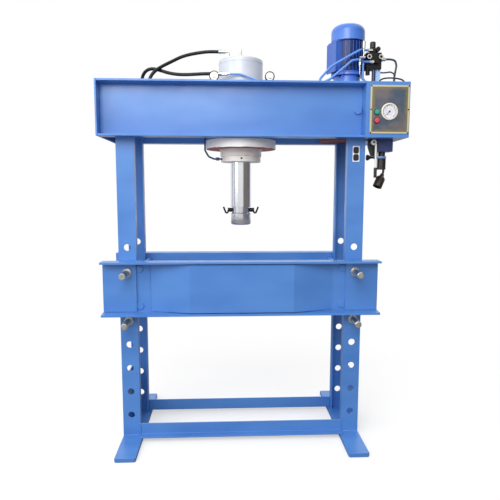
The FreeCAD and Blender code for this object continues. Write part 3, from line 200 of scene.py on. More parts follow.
def hexagon_bolt(name, at, across, tall):
    """A hexagon head with its corners taken off by a cone: six flats from a turned profile."""
    corner = across / math.sqrt(3)
    profile = [(0, 0), (corner, 0), (corner, tall * 0.8), (corner * 0.86, tall), (0, tall)]
    return turned(name, profile, at, steps=6)


def plate(name, low, high, bevel=1.0):
    """A flat plate between two corners, with its edges rounded by a small bevel."""
    low, high = np.array(low, float), np.array(high, float)
    mesh = bpy.data.meshes.new(name)
    work = bmesh.new()
    bmesh.ops.create_cube(work, size=1)
    for spot in work.verts:
        spot.co = Vector(low + (high - low) * (np.array(spot.co) + 0.5))
    work.to_mesh(mesh)
    work.free()
    piece = finished(name, mesh, smooth_below=35)
    edge = piece.modifiers.new("edges", "BEVEL")
    edge.width, edge.segments = bevel * MM, 2
    return piece


def line_of(name, route):
    """The smooth line of a route in millimetres: a NURBS spline read back as points in metres."""
    curve = bpy.data.curves.new(name, "CURVE")
    curve.dimensions = "3D"
    curve.resolution_u = 12
    spline = curve.splines.new("NURBS")
    spline.points.add(len(route) - 1)
    for spot, place in zip(spline.points, route):
        spot.co = (*(Vector(place) * MM), 1)
    spline.order_u = 3
    spline.use_endpoint_u = True
    holder = bpy.data.objects.new(name, curve)
    bpy.context.collection.objects.link(holder)
    bpy.context.view_layer.update()
    mesh = bpy.data.meshes.new_from_object(holder)
    line = np.array([v.co for v in mesh.vertices], float)
    bpy.data.objects.remove(holder)
    bpy.data.meshes.remove(mesh)
    return line


def length_of(line):
    """The sum of the distances from each point of a line to the next."""
    return float(np.linalg.norm(np.diff(line, axis=0), axis=1).sum())


def tube(name, line, radius, steps=20):
    """A round tube along a line.  Each ring lies across the line's own direction, and its
    first direction is carried on from ring to ring, so the tube doesn't twist."""
    ahead = np.gradient(line, axis=0)
    ahead /= np.linalg.norm(ahead, axis=1)[:, None]
    across = np.cross(ahead[0], [0.0, 1.0, 0.0])
    if np.linalg.norm(across) < 0.1:
        across = np.cross(ahead[0], [1.0, 0.0, 0.0])
    sides = []
    for way in ahead:
        across = across - way * across.dot(way)
        across /= np.linalg.norm(across)
        sides.append(across)
    side = np.array(sides)
    other = np.cross(ahead, side)
    angle = np.linspace(0, 2 * math.pi, steps, endpoint=False)
    ring = (side[:, None] * np.cos(angle)[None, :, None]
            + other[:, None] * np.sin(angle)[None, :, None])
    walls = line[:, None] + radius * ring
    ends = [np.repeat(line[i][None, None], steps, 1) for i in (0, -1)]
    points = np.concatenate([ends[0], walls, ends[1]])
    return surface(name, points, around=True, uv=(2 * math.pi * radius, length_of(line)),
                   smooth_below=50)


# a bead's ripples rise by a tenth, and it has ten sides that always shade as round
RIPPLE_RISE, BEAD_SIDES, BEAD_SMOOTH = 0.1, 10, 80


def weld_bead(name, start, end, radius=4.0, ripple=5.0):
    """A weld bead between two points: a round bar whose radius rises and falls by a tenth at
    every ripple, closed at both ends by a quarter circle.
    Point = start + s (end - start) + r w(s) t(s) (side cos a + other sin a)."""
    start, end = np.array(start, float), np.array(end, float)
    long = np.linalg.norm(end - start)
    count = max(int(long / (ripple * MM) * 4), 16)
    s = np.linspace(0, 1, count)
    wave = 1 + RIPPLE_RISE * np.sin(2 * math.pi * s * long / (ripple * MM))
    from_end = np.clip(1 - np.minimum(s, 1 - s) * long / (radius * MM), 0, 1)
    taper = np.sqrt(np.clip(1 - from_end ** 2, 0, 1))
    way = (end - start) / long
    # any direction that no bead runs along gives a side across the bead
    side = np.cross(way, [0.3, 0.5, 0.81])
    side /= np.linalg.norm(side)
    other = np.cross(way, side)
    angle = np.linspace(0, 2 * math.pi, BEAD_SIDES, endpoint=False)
    ring = side * np.cos(angle)[:, None] + other * np.sin(angle)[:, None]
    out = (radius * MM * wave * taper)[:, None, None] * ring
    points = start + (end - start) * s[:, None, None] + out
    return surface(name, points, around=True, smooth_below=BEAD_SMOOTH)


def weld_ring(name, at, ring_radius, radius=4.0, ripple=6.0, axis="z"):
    """A weld bead round a tube: a torus whose small radius r has a ripple every few millimetres.
    Point = at + ((R + r cos b) cos a, (R + r cos b) sin a, r sin b), with the axes swapped."""
    ripples = int(2 * math.pi * ring_radius / ripple)
    turn = np.linspace(0, 2 * math.pi, ripples * 3, endpoint=False)
    small = radius * (1 + RIPPLE_RISE * np.sin(turn * ripples))
    angle = np.linspace(0, 2 * math.pi, BEAD_SIDES, endpoint=False)
    out = ring_radius + small[:, None] * np.cos(angle)
    own = np.stack([out * np.cos(turn)[:, None], out * np.sin(turn)[:, None],
                    small[:, None] * np.sin(angle)], -1) * MM
    return surface(name, laid_along(own, axis) + np.array(at), around=True, along=True,
                   smooth_below=BEAD_SMOOTH)


# ---- cords: their routes in millimetres, as the frame's own pieces follow them ---------------

UPPER_HOSE = [(-540, -168, 2140), (-540, -168, 2168), (-535, -168, 2193),
              (-524, -164, 2217), (-506, -156, 2240), (-480, -142, 2262),
              (-448, -124, 2285), (-408, -102, 2310), (-362, -84, 2338),
              (-314, -72, 2356), (-262, -65, 2368), (-205, -61, 2377), (-165, -60, 2378),
              (-136, -60, 2378)]
LOWER_HOSE = [(-596, -60, 2135), (-596, -60, 2168), (-597, -64, 2197), (-592, -74, 2224),
              (-576, -88, 2248), (-550, -102, 2262), (-516, -114, 2263),
              (-474, -128, 2249), (-430, -139, 2234), (-385, -146, 2225),
              (-330, -149, 2223), (-270, -150, 2226), (-215, -150, 2230),
              (-160, -150, 2230)]
MOTOR_CABLE = [(812, -186, 2173), (812, -186, 2194), (833, -186, 2207), (868, -187, 2211),
               (904, -187, 2210), (940, -186, 2205), (964, -186, 2193), (964, -186, 2173)]
PLUG_LEAD = [(866, -60, 1857), (866, -60, 1812), (867, -64, 1768), (872, -74, 1726),
             (881, -86, 1692), (884, -94, 1668), (876, -98, 1651)]
HOSE_RADIUS, CABLE_RADIUS, LEAD_RADIUS = 9.7, 4.5, 7.0


def free_cord(node, route, radius, carried_to=None):
    """A cord on its smooth line, fixed to the frame.  A hose between the frame and the carriage only
    has its place baked into its mesh, and is fixed to no body.
    """
    line = line_of(node + "_line", route)
    cover = tube(node + "_cover", line, radius * MM)
    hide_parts(node)
    if carried_to:
        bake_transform(cover)
    else:
        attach(cover, "frame")
    return cover


def end_sleeve(name, route, radius):
    """A nut and a sleeve with three crimped rings, turned round the first run of a hose that
    starts upwards.  The profile is (radius, height) from the hose's end."""
    profile = [(radius * 0.8, 0), (radius + 5, 0), (radius + 5, 12), (radius + 2, 13),
               (radius + 2, 17), (radius + 3, 18), (radius + 2, 20), (radius + 3, 22),
               (radius + 2, 24), (radius + 3, 26), (radius + 1, 29), (radius * 0.8, 29)]
    sleeve = turned(name, profile, Vector(route[0]) * MM, steps=48)
    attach(sleeve, "frame")
    return sleeve


def cable_gland(name, at, way, radius):
    """A cable gland: a round foot, a narrower cap and a collar that closes on the cable.  way
    is 1 for a cable that leaves upwards and -1 for one that leaves downwards."""
    profile = [(radius * 0.9, 0), (radius + 6, 0), (radius + 6, 5), (radius + 4.5, 6),
               (radius + 4.5, 12), (radius + 3, 15), (radius + 0.8, 17), (radius * 0.9, 17)]
    gland = turned(name, [(r, way * h) for r, h in profile], Vector(at) * MM, steps=36)
    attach(gland, "frame")
    return gland


upper_sleeve = end_sleeve("upper_hose_sleeve", UPPER_HOSE, HOSE_RADIUS)
lower_sleeve = end_sleeve("lower_hose_sleeve", LOWER_HOSE, HOSE_RADIUS)
glands = [cable_gland("motor_cable_gland_left", MOTOR_CABLE[0], 1, CABLE_RADIUS),
          cable_gland("motor_cable_gland_right", MOTOR_CABLE[-1], 1, CABLE_RADIUS)]
relief = cable_gland("plug_lead_relief", PLUG_LEAD[0], -1, LEAD_RADIUS)
plug = smoothed("hanging_plug")

upper_hose = free_cord("hose_upper", UPPER_HOSE, HOSE_RADIUS,
                       "carriage")
lower_hose = free_cord("hose_lower", LOWER_HOSE, HOSE_RADIUS,
                       "carriage")
motor_cable = free_cord("motor_cable", MOTOR_CABLE, CABLE_RADIUS)
plug_lead = free_cord("plug_lead", PLUG_LEAD, LEAD_RADIUS)

# ---- finishes -------------------------------------------------------------------------------


def linear(hex_colour):
    """An sRGB hex colour as linear red, green, blue and alpha."""
    shares = [int(hex_colour[i:i + 2], 16) / 255 for i in (0, 2, 4)]
    return tuple(c / 12.92 if c <= 0.04045 else ((c + 0.055) / 1.055) ** 2.4 for c in shares) + (1.0,)


def add(tree, kind, inputs=(), **settings):
    """One node in a material, with its settings and each input set or linked."""
    node = tree.nodes.new(kind)
    for name, setting in settings.items():
        setattr(node, name, setting)
    for key, given in dict(inputs).items():
        if isinstance(given, bpy.types.NodeSocket):
            tree.links.new(given, node.inputs[key])
        else:
            node.inputs[key].default_value = given
    return node


def finish(name, colour, **sockets):
    """A material with its shader's own sockets set: the tree, the shader and where it is."""
    material = bpy.data.materials.new(name)
    material.use_nodes = True
    tree = material.node_tree
    shader = tree.nodes["Principled BSDF"]
    shader.inputs["Base Color"].default_value = linear(colour)
    for key, number in sockets.items():
        shader.inputs[key.replace("_", " ").title().replace("Ior", "IOR")].default_value = number
    return material, tree, shader


def per_metre(millimetres):
    """The scale of a noise pattern that has one cell to that many millimetres."""
    return 1 / (millimetres * MM)


def here(tree, stretch=(1, 1, 1), centre=(0, 0, 0)):
    """The piece's own place, moved so that centre is zero and stretched along its axes."""
    spot = add(tree, "ShaderNodeTexCoord").outputs["Object"]
    moved = add(tree, "ShaderNodeVectorMath", {0: spot, 1: centre}, operation="SUBTRACT")
    return add(tree, "ShaderNodeVectorMath", {0: moved.outputs[0], 1: stretch},
               operation="MULTIPLY").outputs[0]


def noise(tree, patch, detail=2.0, stretch=(1, 1, 1), rough=0.5):
    """Even grey noise with patches of a size in millimetres."""
    return add(tree, "ShaderNodeTexNoise", {"Vector": here(tree, stretch), "Scale": per_metre(patch),
                                            "Detail": detail, "Roughness": rough}).outputs["Fac"]


def between(tree, fac, low, high, from_low=0.35, from_high=0.65):
    """A number that goes from low to high as fac goes from from_low to from_high."""
    return add(tree, "ShaderNodeMapRange", {"Value": fac, "From Min": from_low, "From Max": from_high,
                                            "To Min": low, "To Max": high}).outputs["Result"]


def shade(tree, fac, first, second):
    """One colour into another as fac goes from 0 to 1."""
    mix = add(tree, "ShaderNodeMix", data_type="RGBA")
    tree.links.new(fac, mix.inputs[0])
    for socket, colour in ((mix.inputs[6], first), (mix.inputs[7], second)):
        if isinstance(colour, str):
            socket.default_value = linear(colour)
        else:
            tree.links.new(colour, socket)
    return mix.outputs[2]


def raise_by(tree, shader, height, millimetres, strength=1.0):
    """Bump of a depth in millimetres on the shader."""
    bump = add(tree, "ShaderNodeBump", {"Height": height, "Strength": strength,
                                        "Distance": millimetres * MM})
    tree.links.new(bump.outputs["Normal"], shader.inputs["Normal"])


def enamel(name, colour, dark, light, roughness=0.38, peel=0.25, coat=0.25, ior=1.5):
    """Alkyd enamel sprayed on steel: soft gloss, broad clouds of thicker and thinner colour, and
    an orange peel that is drawn at 9 mm where the real one is 2 mm, so that it shows."""
    material, tree, shader = finish(name, colour, ior=ior, coat_weight=coat, coat_roughness=0.2)
    clouds = between(tree, noise(tree, 260, 3.0), 0.0, 1.0)
    passes = between(tree, noise(tree, 130, 1.0, (0.3, 1, 1)), 0.0, 0.6)
    thick = shade(tree, clouds, dark, colour)
    tree.links.new(shade(tree, passes, thick, light), shader.inputs["Base Color"])
    tree.links.new(between(tree, noise(tree, 90, 3.0), roughness - 0.06, roughness + 0.08),
                   shader.inputs["Roughness"])
    raise_by(tree, shader, noise(tree, 9, 1.0), peel)
    return material


def metal(name, colour, tint, roughness, grain=(1, 1, 1), patch=3.0, depth=0.02, clouds=60):
    """Bare or plated steel: full metal, with a grain that is stretched along the way it was
    worked and a faint change of colour over clouds of a few centimetres."""
    material, tree, shader = finish(name, colour, metallic=1.0)
    tree.links.new(shade(tree, between(tree, noise(tree, clouds, 3.0), 0.0, 1.0), colour, tint),
                   shader.inputs["Base Color"])
    lines = noise(tree, patch, 2.0, grain)
    tree.links.new(between(tree, lines, roughness * 0.75, roughness * 1.3), shader.inputs["Roughness"])
    raise_by(tree, shader, lines, depth)
    return material


def moulded(name, colour, tint, roughness, patch=1.5, depth=0.03, ior=1.5):
    """Moulded plastic or rubber: one colour right through, with a fine texture from the mould,
    drawn at the patch's size, which is coarser than the real one so that it shows."""
    material, tree, shader = finish(name, colour, ior=ior)
    tree.links.new(shade(tree, between(tree, noise(tree, 30, 2.0), 0.0, 1.0), colour, tint),
                   shader.inputs["Base Color"])
    grit = noise(tree, patch, 1.0)
    tree.links.new(between(tree, grit, roughness - 0.05, roughness + 0.07), shader.inputs["Roughness"])
    raise_by(tree, shader, grit, depth)
    return material


# a wave pattern turns by 20 radians in a unit at a scale of 1, so this prints a line every 2 mm
WRAP_SCALE = 1 / (2 * math.pi * MM)


def hose_rubber():
    """Nitrile rubber hose cover, cured in a wrap: black and half glossy, with the cloth's
    fine spiral printed in it.  It reads the cover's own UV, which is in metres."""
    material, tree, shader = finish("black_nitrile_hose_cover", "0f1012", ior=1.4)
    uv = add(tree, "ShaderNodeTexCoord").outputs["UV"]
    turn = add(tree, "ShaderNodeMapping", {"Vector": uv, "Rotation": (0, 0, 0.2)})
    wrap = add(tree, "ShaderNodeTexWave", {"Vector": turn.outputs[0], "Scale": WRAP_SCALE,
                                           "Distortion": 0.6, "Detail": 1.0}, bands_direction="Y")
    tree.links.new(between(tree, wrap.outputs["Fac"], 0.3, 0.44, 0, 1), shader.inputs["Roughness"])
    tree.links.new(shade(tree, between(tree, noise(tree, 25), 0.0, 1.0), "0c0d0f", "1d1e21"),
                   shader.inputs["Base Color"])
    raise_by(tree, shader, wrap.outputs["Fac"], 0.12)
    return material


def middle_distance(tree, centre, axes):
    """How far each point lies from a line through centre, along the one axis not in axes."""
    flat = tuple(1 if axis in axes else 0 for axis in "xyz")
    return add(tree, "ShaderNodeVectorMath", {0: here(tree, flat, centre)},
               operation="LENGTH").outputs["Value"]


def height_over(tree, level):
    """How far each point lies over a level."""
    return add(tree, "ShaderNodeSeparateXYZ", {0: here(tree, (1, 1, 1), (0, 0, level))}).outputs["Z"]


# the primer's upper edge on the disc, in millimetres over the disc's underside: where it starts
# to turn white, where it is white, and how far it wanders
PRIMER_FROM, PRIMER_TO, PRIMER_UNEVEN = 1.5, 2.5, 1.2


def flange_paint():
    """Off-white enamel over red primer: the disc's underside was left in primer, up to an uneven
    line about 2 mm up its lower corner."""
    material, tree, shader = finish("off_white_enamel_over_primer", "f2f1ee", ior=1.5,
                                    coat_weight=0.2, coat_roughness=0.25)
    uneven = between(tree, noise(tree, 30, 2.0), -PRIMER_UNEVEN * MM, PRIMER_UNEVEN * MM)
    height = height_over(tree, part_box("cylinder_flange")[0].z)
    line = add(tree, "ShaderNodeMath", {0: height, 1: uneven}, operation="ADD").outputs[0]
    bare = between(tree, line, 1.0, 0.0, PRIMER_FROM * MM, PRIMER_TO * MM)
    clouds = shade(tree, between(tree, noise(tree, 120, 3.0), 0.0, 1.0), "ebeae7", "f8f7f5")
    tree.links.new(shade(tree, bare, clouds, "b04a4d"), shader.inputs["Base Color"])
    tree.links.new(between(tree, bare, 0.4, 0.75, 0, 1), shader.inputs["Roughness"])
    raise_by(tree, shader, noise(tree, 9, 1.0), 0.2)
    return material


# in millimetres from the motor's axis: where the painted shade in the valleys between its ribs ends,
# and where the painted highlight on the ribs begins
VALLEY_RADIUS, RIB_RADIUS = 91, 98


def ribbed_motor_enamel():
    """Deep blue enamel on the cast motor body, with painted shade in its valleys and a painted
    highlight on its ribs, by the distance from the motor's axis."""
    material, tree, shader = finish("deep_blue_enamel_with_painted_rib_shade", "23479f", ior=1.4,
                                    coat_weight=0.1, coat_roughness=0.15)
    low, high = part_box("motor_body")
    away = middle_distance(tree, ((low.x + high.x) / 2, 0, 0), "xy")
    lit_crest = between(tree, away, 0.0, 1.0, VALLEY_RADIUS * MM, RIB_RADIUS * MM)
    # dark valleys are painted shade, and light crests are a painted highlight
    tree.links.new(shade(tree, lit_crest, "172a66", "3867c2"), shader.inputs["Base Color"])
    tree.links.new(between(tree, noise(tree, 60), 0.28, 0.42), shader.inputs["Roughness"])
    raise_by(tree, shader, noise(tree, 6, 2.0), 0.3)
    return material


def two_by_height(name, above, below, level, roughness, soft=1.0):
    """One enamel over a level in metres and another colour under it: the real second colour of a
    dipped or sleeved piece, and on the gland's pipe a painted shade.  soft is half the height of the
    change, in millimetres."""
    material, tree, shader = finish(name, above, ior=1.5, coat_weight=0.15, coat_roughness=0.25)
    over = between(tree, height_over(tree, level), 0.0, 1.0, -soft * MM, soft * MM)
    tree.links.new(shade(tree, over, below, above), shader.inputs["Base Color"])
    tree.links.new(between(tree, noise(tree, 40, 3.0), roughness - 0.05, roughness + 0.08),
                   shader.inputs["Roughness"])
    raise_by(tree, shader, noise(tree, 8, 1.0), 0.1)
    return material


# the hand valve, in metres: the line between its cheek and its block, and the heights of the
# lower and the upper edge of its ring and of the foot of its block
CHEEK_LINE = 0.821
RING_LOW, RING_HIGH, BLOCK_FOOT = 1.7438, 1.7572, 1.784


def hand_valve_finish():
    """The hand valve's zones: a deep blue block under the end box, a near-black cheek to its
    left, a pale blue ring at the lock knob and a dark brown stem below it."""
    material, tree, shader = finish("hand_valve_enamel_and_dark_steel", "1b2a56", ior=1.5,
                                    coat_weight=0.2, coat_roughness=0.2)
    x = add(tree, "ShaderNodeSeparateXYZ", {0: here(tree)}).outputs["X"]
    block_side = between(tree, x, 0.0, 1.0, CHEEK_LINE - 0.5 * MM, CHEEK_LINE + 0.5 * MM)
    upper = shade(tree, block_side, "1a1a1e", "22366f")
    over_stem, over_ring, over_neck = (
        between(tree, height_over(tree, level), 0.0, 1.0, -0.5 * MM, 0.5 * MM)
        for level in (RING_LOW, RING_HIGH, BLOCK_FOOT))
    lower = shade(tree, over_stem, "1d1816", "6f93cd")
    dark_neck = shade(tree, over_neck, "241d1b", upper)
    tree.links.new(shade(tree, over_ring, lower, dark_neck), shader.inputs["Base Color"])
    tree.links.new(between(tree, noise(tree, 20, 3.0), 0.3, 0.5), shader.inputs["Roughness"])
    raise_by(tree, shader, noise(tree, 5, 2.0), 0.2)
    return material


# in millimetres from the panel's edge: its gold rim's width, where its olive film begins and
# has turned grey, and how far that line wanders
RIM_WIDTH, FILM_FROM, FILM_TO, FILM_UNEVEN = 9, 8, 32, 9


def passivated_panel():
    """Yellow passivated zinc on sheet steel: a gold rim, and over the middle of the plate a
    blue-grey bloom with clouds of violet and green, as a thin film has."""
    low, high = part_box("control_panel")
    middle, half = (low + high) / 2, (high - low) / 2
    material, tree, shader = finish("yellow_passivated_zinc_sheet", "b59a52", metallic=0.8)
    spot = add(tree, "ShaderNodeSeparateXYZ", {0: here(tree, (1, 0, 1), tuple(middle))})
    # the distance to the nearest edge of the plate, from half its width and half its height
    room = []
    for axis, reach in (("X", half.x), ("Z", half.z)):
        aside = add(tree, "ShaderNodeMath", {0: spot.outputs[axis]}, operation="ABSOLUTE")
        left = add(tree, "ShaderNodeMath", {0: reach, 1: aside.outputs[0]}, operation="SUBTRACT")
        room.append(left.outputs[0])
    inside = add(tree, "ShaderNodeMath", {0: room[0], 1: room[1]}, operation="MINIMUM").outputs[0]
    uneven = between(tree, noise(tree, 45, 3.0), -FILM_UNEVEN * MM, FILM_UNEVEN * MM, 0.3, 0.7)
    film = add(tree, "ShaderNodeMath", {0: inside, 1: uneven}, operation="ADD").outputs[0]
    violet = between(tree, noise(tree, 90, 3.0), 0.0, 1.0, 0.42, 0.62)
    bloom = shade(tree, violet, "566475", "7b7478")
    green = shade(tree, between(tree, film, 0.0, 1.0, FILM_FROM * MM, FILM_TO * MM), "8d845c", bloom)
    past_rim = between(tree, inside, 0.0, 1.0, (RIM_WIDTH - 0.5) * MM, (RIM_WIDTH + 0.5) * MM)
    tree.links.new(shade(tree, past_rim, "dccfa8", green), shader.inputs["Base Color"])
    tree.links.new(between(tree, noise(tree, 14, 3.0), 0.28, 0.42), shader.inputs["Roughness"])
    raise_by(tree, shader, noise(tree, 2.5, 2.0, (1, 1, 0.15)), 0.03)
    return material


# distances in millimetres from the axle at which a roller's bright face ends and its dark tread begins
FACE_RADIUS, TREAD_RADIUS = 22, 23.5


def roller_steel():
    """Turned steel rollers: a dark tread round a bright dished face, by the distance
    from the axle, which is the same for the left and the right pair."""
    material, tree, shader = finish("turned_steel_dark_tread", "b8b8b4", metallic=0.9)
    low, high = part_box("rollers_right")
    middle = (low + high) / 2
    spot = add(tree, "ShaderNodeSeparateXYZ", {0: add(tree, "ShaderNodeTexCoord").outputs["Object"]})
    aside = add(tree, "ShaderNodeMath", {0: spot.outputs["X"]}, operation="ABSOLUTE")
    across = add(tree, "ShaderNodeMath", {0: aside.outputs[0], 1: middle.x}, operation="SUBTRACT")
    rise = add(tree, "ShaderNodeMath", {0: spot.outputs["Z"], 1: middle.z}, operation="SUBTRACT")
    flat = add(tree, "ShaderNodeCombineXYZ", {"X": across.outputs[0], "Y": rise.outputs[0]})
    away = add(tree, "ShaderNodeVectorMath", {0: flat.outputs[0]}, operation="LENGTH")
    tread = between(tree, away.outputs["Value"], 0.0, 1.0, FACE_RADIUS * MM, TREAD_RADIUS * MM)
    face = shade(tree, between(tree, noise(tree, 8, 2.0), 0.0, 1.0), "c9c9c4", "a2a29c")
    tree.links.new(shade(tree, tread, face, "1c1b1a"), shader.inputs["Base Color"])
    tree.links.new(between(tree, tread, 0.35, 0.5, 0, 1), shader.inputs["Roughness"])
    return material


def window_glass():
    """Clear flat gauge glass: thin, colourless, with a bright reflection at low angles and the
    faint smears of a wiped pane."""
    material, tree, shader = finish("flat_gauge_glass", "ffffff", roughness=0.03, ior=1.5,
                                    transmission_weight=1.0, alpha=0.25)
    tree.links.new(between(tree, noise(tree, 12, 2.0), 0.02, 0.07), shader.inputs["Roughness"])
    return material


# one finish to each material slot of the frame
FINISHES = {
    # the frame's enamel is a clear mid blue with a soft gloss
    "blue_paint": enamel("sky_blue_alkyd_enamel", "4a7fc6", "4378c1", "5389cf", 0.36),
    "pale_blue_paint": enamel("pale_blue_alkyd_enamel", "9cc4ee", "8ab5e4", "b4d4f4", 0.4),
    "navy_paint": enamel("deep_blue_motor_enamel", "23479f", "1c3b8c", "2f57b4", 0.36),
    "cream_paint": enamel("off_white_alkyd_enamel", "cbd0d8", "c3c8d1", "d6dae1", 0.32, 0.2),
    # primer is matt and a little chalky
    "red_primer": enamel("red_oxide_primer", "8b4a42", "7a3f38", "9a584e", 0.75, 0.3, 0.0),
    # hard chrome is ground round the rod, so its finest lines run round it
    "chromed_rod": metal("ground_hard_chrome", "eceef2", "dfe0e4", 0.13, (1, 1, 9), 14, 0.004, 300),
    "machined_steel": metal("turned_bright_steel", "dfdfe0", "c6c6c8", 0.22, (1, 1, 8), 14, 0.008),
    "zinc_steel": metal("bright_zinc_plate", "d6d5cf", "bdbbb2", 0.33, (1, 1, 1), 5, 0.02, 20),
    "cast_iron_piston": metal("machined_grey_cast_iron", "5a5a59", "474746", 0.5, (1, 1, 1), 2.5,
                              0.05),
    "black_oxide": enamel("black_phosphate_and_oil", "171618", "111012", "222022", 0.45, 0.15, 0.0,
                          1.33),
    "gauge_black": enamel("cream_stoved_gauge_case", "e6dfcc", "ddd5c0", "efe9d8", 0.4, 0.08, 0.2),
    "dial_white": enamel("matt_white_printed_dial", "e9e9f2", "e2e2ee", "f1f1f7", 0.6, 0.02, 0.0),
    "pointer_black": enamel("matt_black_pointer_lacquer", "121214", "0d0d0e", "1a1a1c", 0.5, 0.02,
                            0.0),
    "green_button": moulded("glossy_green_abs", "2a9c8a", "24907f", 0.25),
    "red_button": moulded("glossy_red_abs", "d2455a", "c23a4e", 0.25),
    "black_plastic": moulded("matt_black_phenolic", "1a1a1b", "262524", 0.45),
    "cable_sheath": moulded("black_pvc_sheath", "161617", "232323", 0.42),
    "hose_rubber": hose_rubber(),
    "yellow_zinc": passivated_panel(),
}

ROLLERS = roller_steel()
# the motor's cowl and bell are a lighter blue than its ribbed body
COWL_BLUE = enamel("mid_blue_motor_enamel", "4273cc", "3867c0", "5687dc", 0.28)
LEAD_BROWN = moulded("brown_rubber_lead", "6b5750", "5a4842", 0.5)
# heights in metres: where the gland's pipe turns from light blue to a navy painted shade under the
# beam, and the top of the grip
PIPE_SHADED_BELOW, GRIP_TOP = 2.1, 1.687
# pieces that look different from the rest of their slot
SPECIAL = {
    "cylinder_flange": flange_paint(),
    "rollers_left": ROLLERS,
    "rollers_right": ROLLERS,
    "fasteners": FINISHES["black_oxide"],
    "gauge_pointer": enamel("dark_blue_pointer_lacquer", "33366c", "2b2e60", "3d417a", 0.5, 0.02,
                            0.0),
    # the gland is whiter than the cylinder over it
    "rod_gland": enamel("off_white_gland_enamel", "ece9e5", "e0dcd6", "f4f2ef", 0.36, 0.2),
    "ram_nose": metal("lathe_turned_steel", "dfe1e6", "cdd0d6", 0.2, (0.02, 0.02, 1), 5, 0.01, 200),
    "motor_cowl": COWL_BLUE,
    "bell_housing": COWL_BLUE,
    "motor_body": ribbed_motor_enamel(),
    "terminal_box": enamel("terminal_box_enamel", "3560b8", "2c54a6", "416fc8", 0.3),
    "blue_pipes": enamel("light_blue_pipe_enamel", "5a8fdc", "4e83d2", "6c9de6", 0.36),
    "hand_valve": hand_valve_finish(),
    # painted shade: the gland's pipe is navy under the level, where it runs under the beam
    "gland_pipe": two_by_height("pipe_enamel_painted_shade_below", "6d9de4", "24386f", PIPE_SHADED_BELOW,
                                0.4, 4),
    "valve_lever": two_by_height("zinc_lever_with_black_grip", "e6e4df", "161617", GRIP_TOP, 0.35),
    # one dark paint all over, so its level doesn't matter
    "gauge_pipes": two_by_height("dark_painted_tube", "2b3350", "2b3350", 0.0, 0.4),
    "hanging_plug": moulded("dark_brown_phenolic", "231d1b", "332a26", 0.35),
}


def coat(piece, material):
    """Gives a piece one material and no other."""
    piece.data.materials.clear()
    piece.data.materials.append(material)


def dress(piece, slot, material=None):
    """Gives a piece its slot's finish or another one."""
    coat(piece, material or FINISHES[slot])


CORDS = {"hose_upper", "hose_lower", "motor_cable", "plug_lead"}
# plates and sections have their corners broken, and the others stay as sharp as they are
EDGES = {"beam_front_channel": 2.0, "beam_back_channel": 2.0, "beam_end_plate": 1.5,
         "bed_front_channel": 2.0, "bed_back_channel": 2.0, "left_column": 2.5, "right_column": 2.5,
         "feet": 2.0, "base_rails": 2.0, "end_box": 2.0, "tank_lid": 1.0, "terminal_box": 2.5,
         "hand_valve": 1.5, "valve_block": 1.5}
# the folds of the bed's cover plates turn by only 15 degrees, and stay sharp
SHARP_ABOVE = {"bed_stiffener_plates": 10}
pieces = {"hanging_plug": plug}
for node in SLOT_OF:
    if node not in CORDS and node not in pieces:
        pieces[node] = smoothed(node, EDGES.get(node, 0.0), SHARP_ABOVE.get(node, 32))
for node, piece in pieces.items():
    coat(piece, SPECIAL.get(node, FINISHES[SLOT_OF[node]]))

for cover in (upper_hose, lower_hose):
    dress(cover, "hose_rubber")
dress(motor_cable, "cable_sheath")
dress(plug_lead, "cable_sheath", LEAD_BROWN)
for sleeve in (upper_sleeve, lower_sleeve):
    dress(sleeve, "zinc_steel")
for gland in glands + [relief]:
    dress(gland, "black_plastic")


def fit(piece, slot, body="frame", material=None):
    """Gives a new piece its slot's finish or another one, and fixes it to a body."""
    dress(piece, slot, material)
    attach(piece, body)


# ---- weld beads -----------------------------------------------------------------------------

column_low, column_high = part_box("right_column")
BEAM_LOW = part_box("beam_front_channel")[0].z
RAIL_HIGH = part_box("base_rails")[1].z
FOOT_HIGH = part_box("feet")[1].z
COLUMN_FACE = column_high.y
# in metres: how far the beads stop short of a column's sides, of its foot and of a rail's top
BEAD_INSET, FOOT_GAP, RAIL_GAP = 0.006, 0.008, 0.004
beads = []
for side in (-1, 1):
    inner, outer = sorted((side * column_low.x, side * column_high.x))
    for face in (-1, 1):
        across = face * COLUMN_FACE
        # under the beam and on the foot, along the face of the column
        for height in (BEAM_LOW, FOOT_HIGH):
            beads.append(weld_bead("bead", (inner + BEAD_INSET, across, height),
                                   (outer - BEAD_INSET, across, height)))
        # up the inner corner of the column, a millimetre proud, at the end of each base rail
        spot, proud = side * column_low.x, across + face * MM
        beads.append(weld_bead("bead", (spot, proud, FOOT_HIGH + FOOT_GAP),
                               (spot, proud, RAIL_HIGH - RAIL_GAP)))
# on the bed: up the ends of the cover plates and the doublers, and round the tie bars
bed_low, bed_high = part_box("bed_stiffener_plates")
bar_low, bar_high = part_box("bed_tie_bars")
BAR_PROUD, BAR_RADIUS = 0.006, 0.019
BED_FACE = bar_high.y - BAR_PROUD
COVER_END, DOUBLER_END = 0.5525, 0.6335
BED_INSET = 0.004
for side in (-1, 1):
    for face in (-1, 1):
        for x in (COVER_END, DOUBLER_END):
            beads.append(weld_bead("bead", (side * x, face * BED_FACE, bed_low.z + BED_INSET),
                                   (side * x, face * BED_FACE, bed_high.z - BED_INSET), 3.0))
        for height in (bar_low.z + BAR_RADIUS, bar_high.z - BAR_RADIUS):
            spot = (side * (bar_high.x - BAR_RADIUS), face * BED_FACE, height)
            beads.append(weld_ring("bead", spot, BAR_RADIUS / MM + 1, 3.5, axis="y"))
fit(joined("frame_weld_beads", beads), "blue_paint")

tube_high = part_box("cylinder_tube")[1]
DISC_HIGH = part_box("cylinder_flange")[1].z
fit(joined("cylinder_weld_beads", [
    weld_ring("bead", (0, 0, tube_high.z), tube_high.x / MM - 1, 2.5),
    weld_ring("bead", (0, 0, DISC_HIGH), tube_high.x / MM, 4)]), "cream_paint", "carriage")

# the spanner hole in the front of the gland ring, 12 mm wide, holds a dark disc that is painted shade
# in the hole
GLAND_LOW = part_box("rod_gland")[0].z
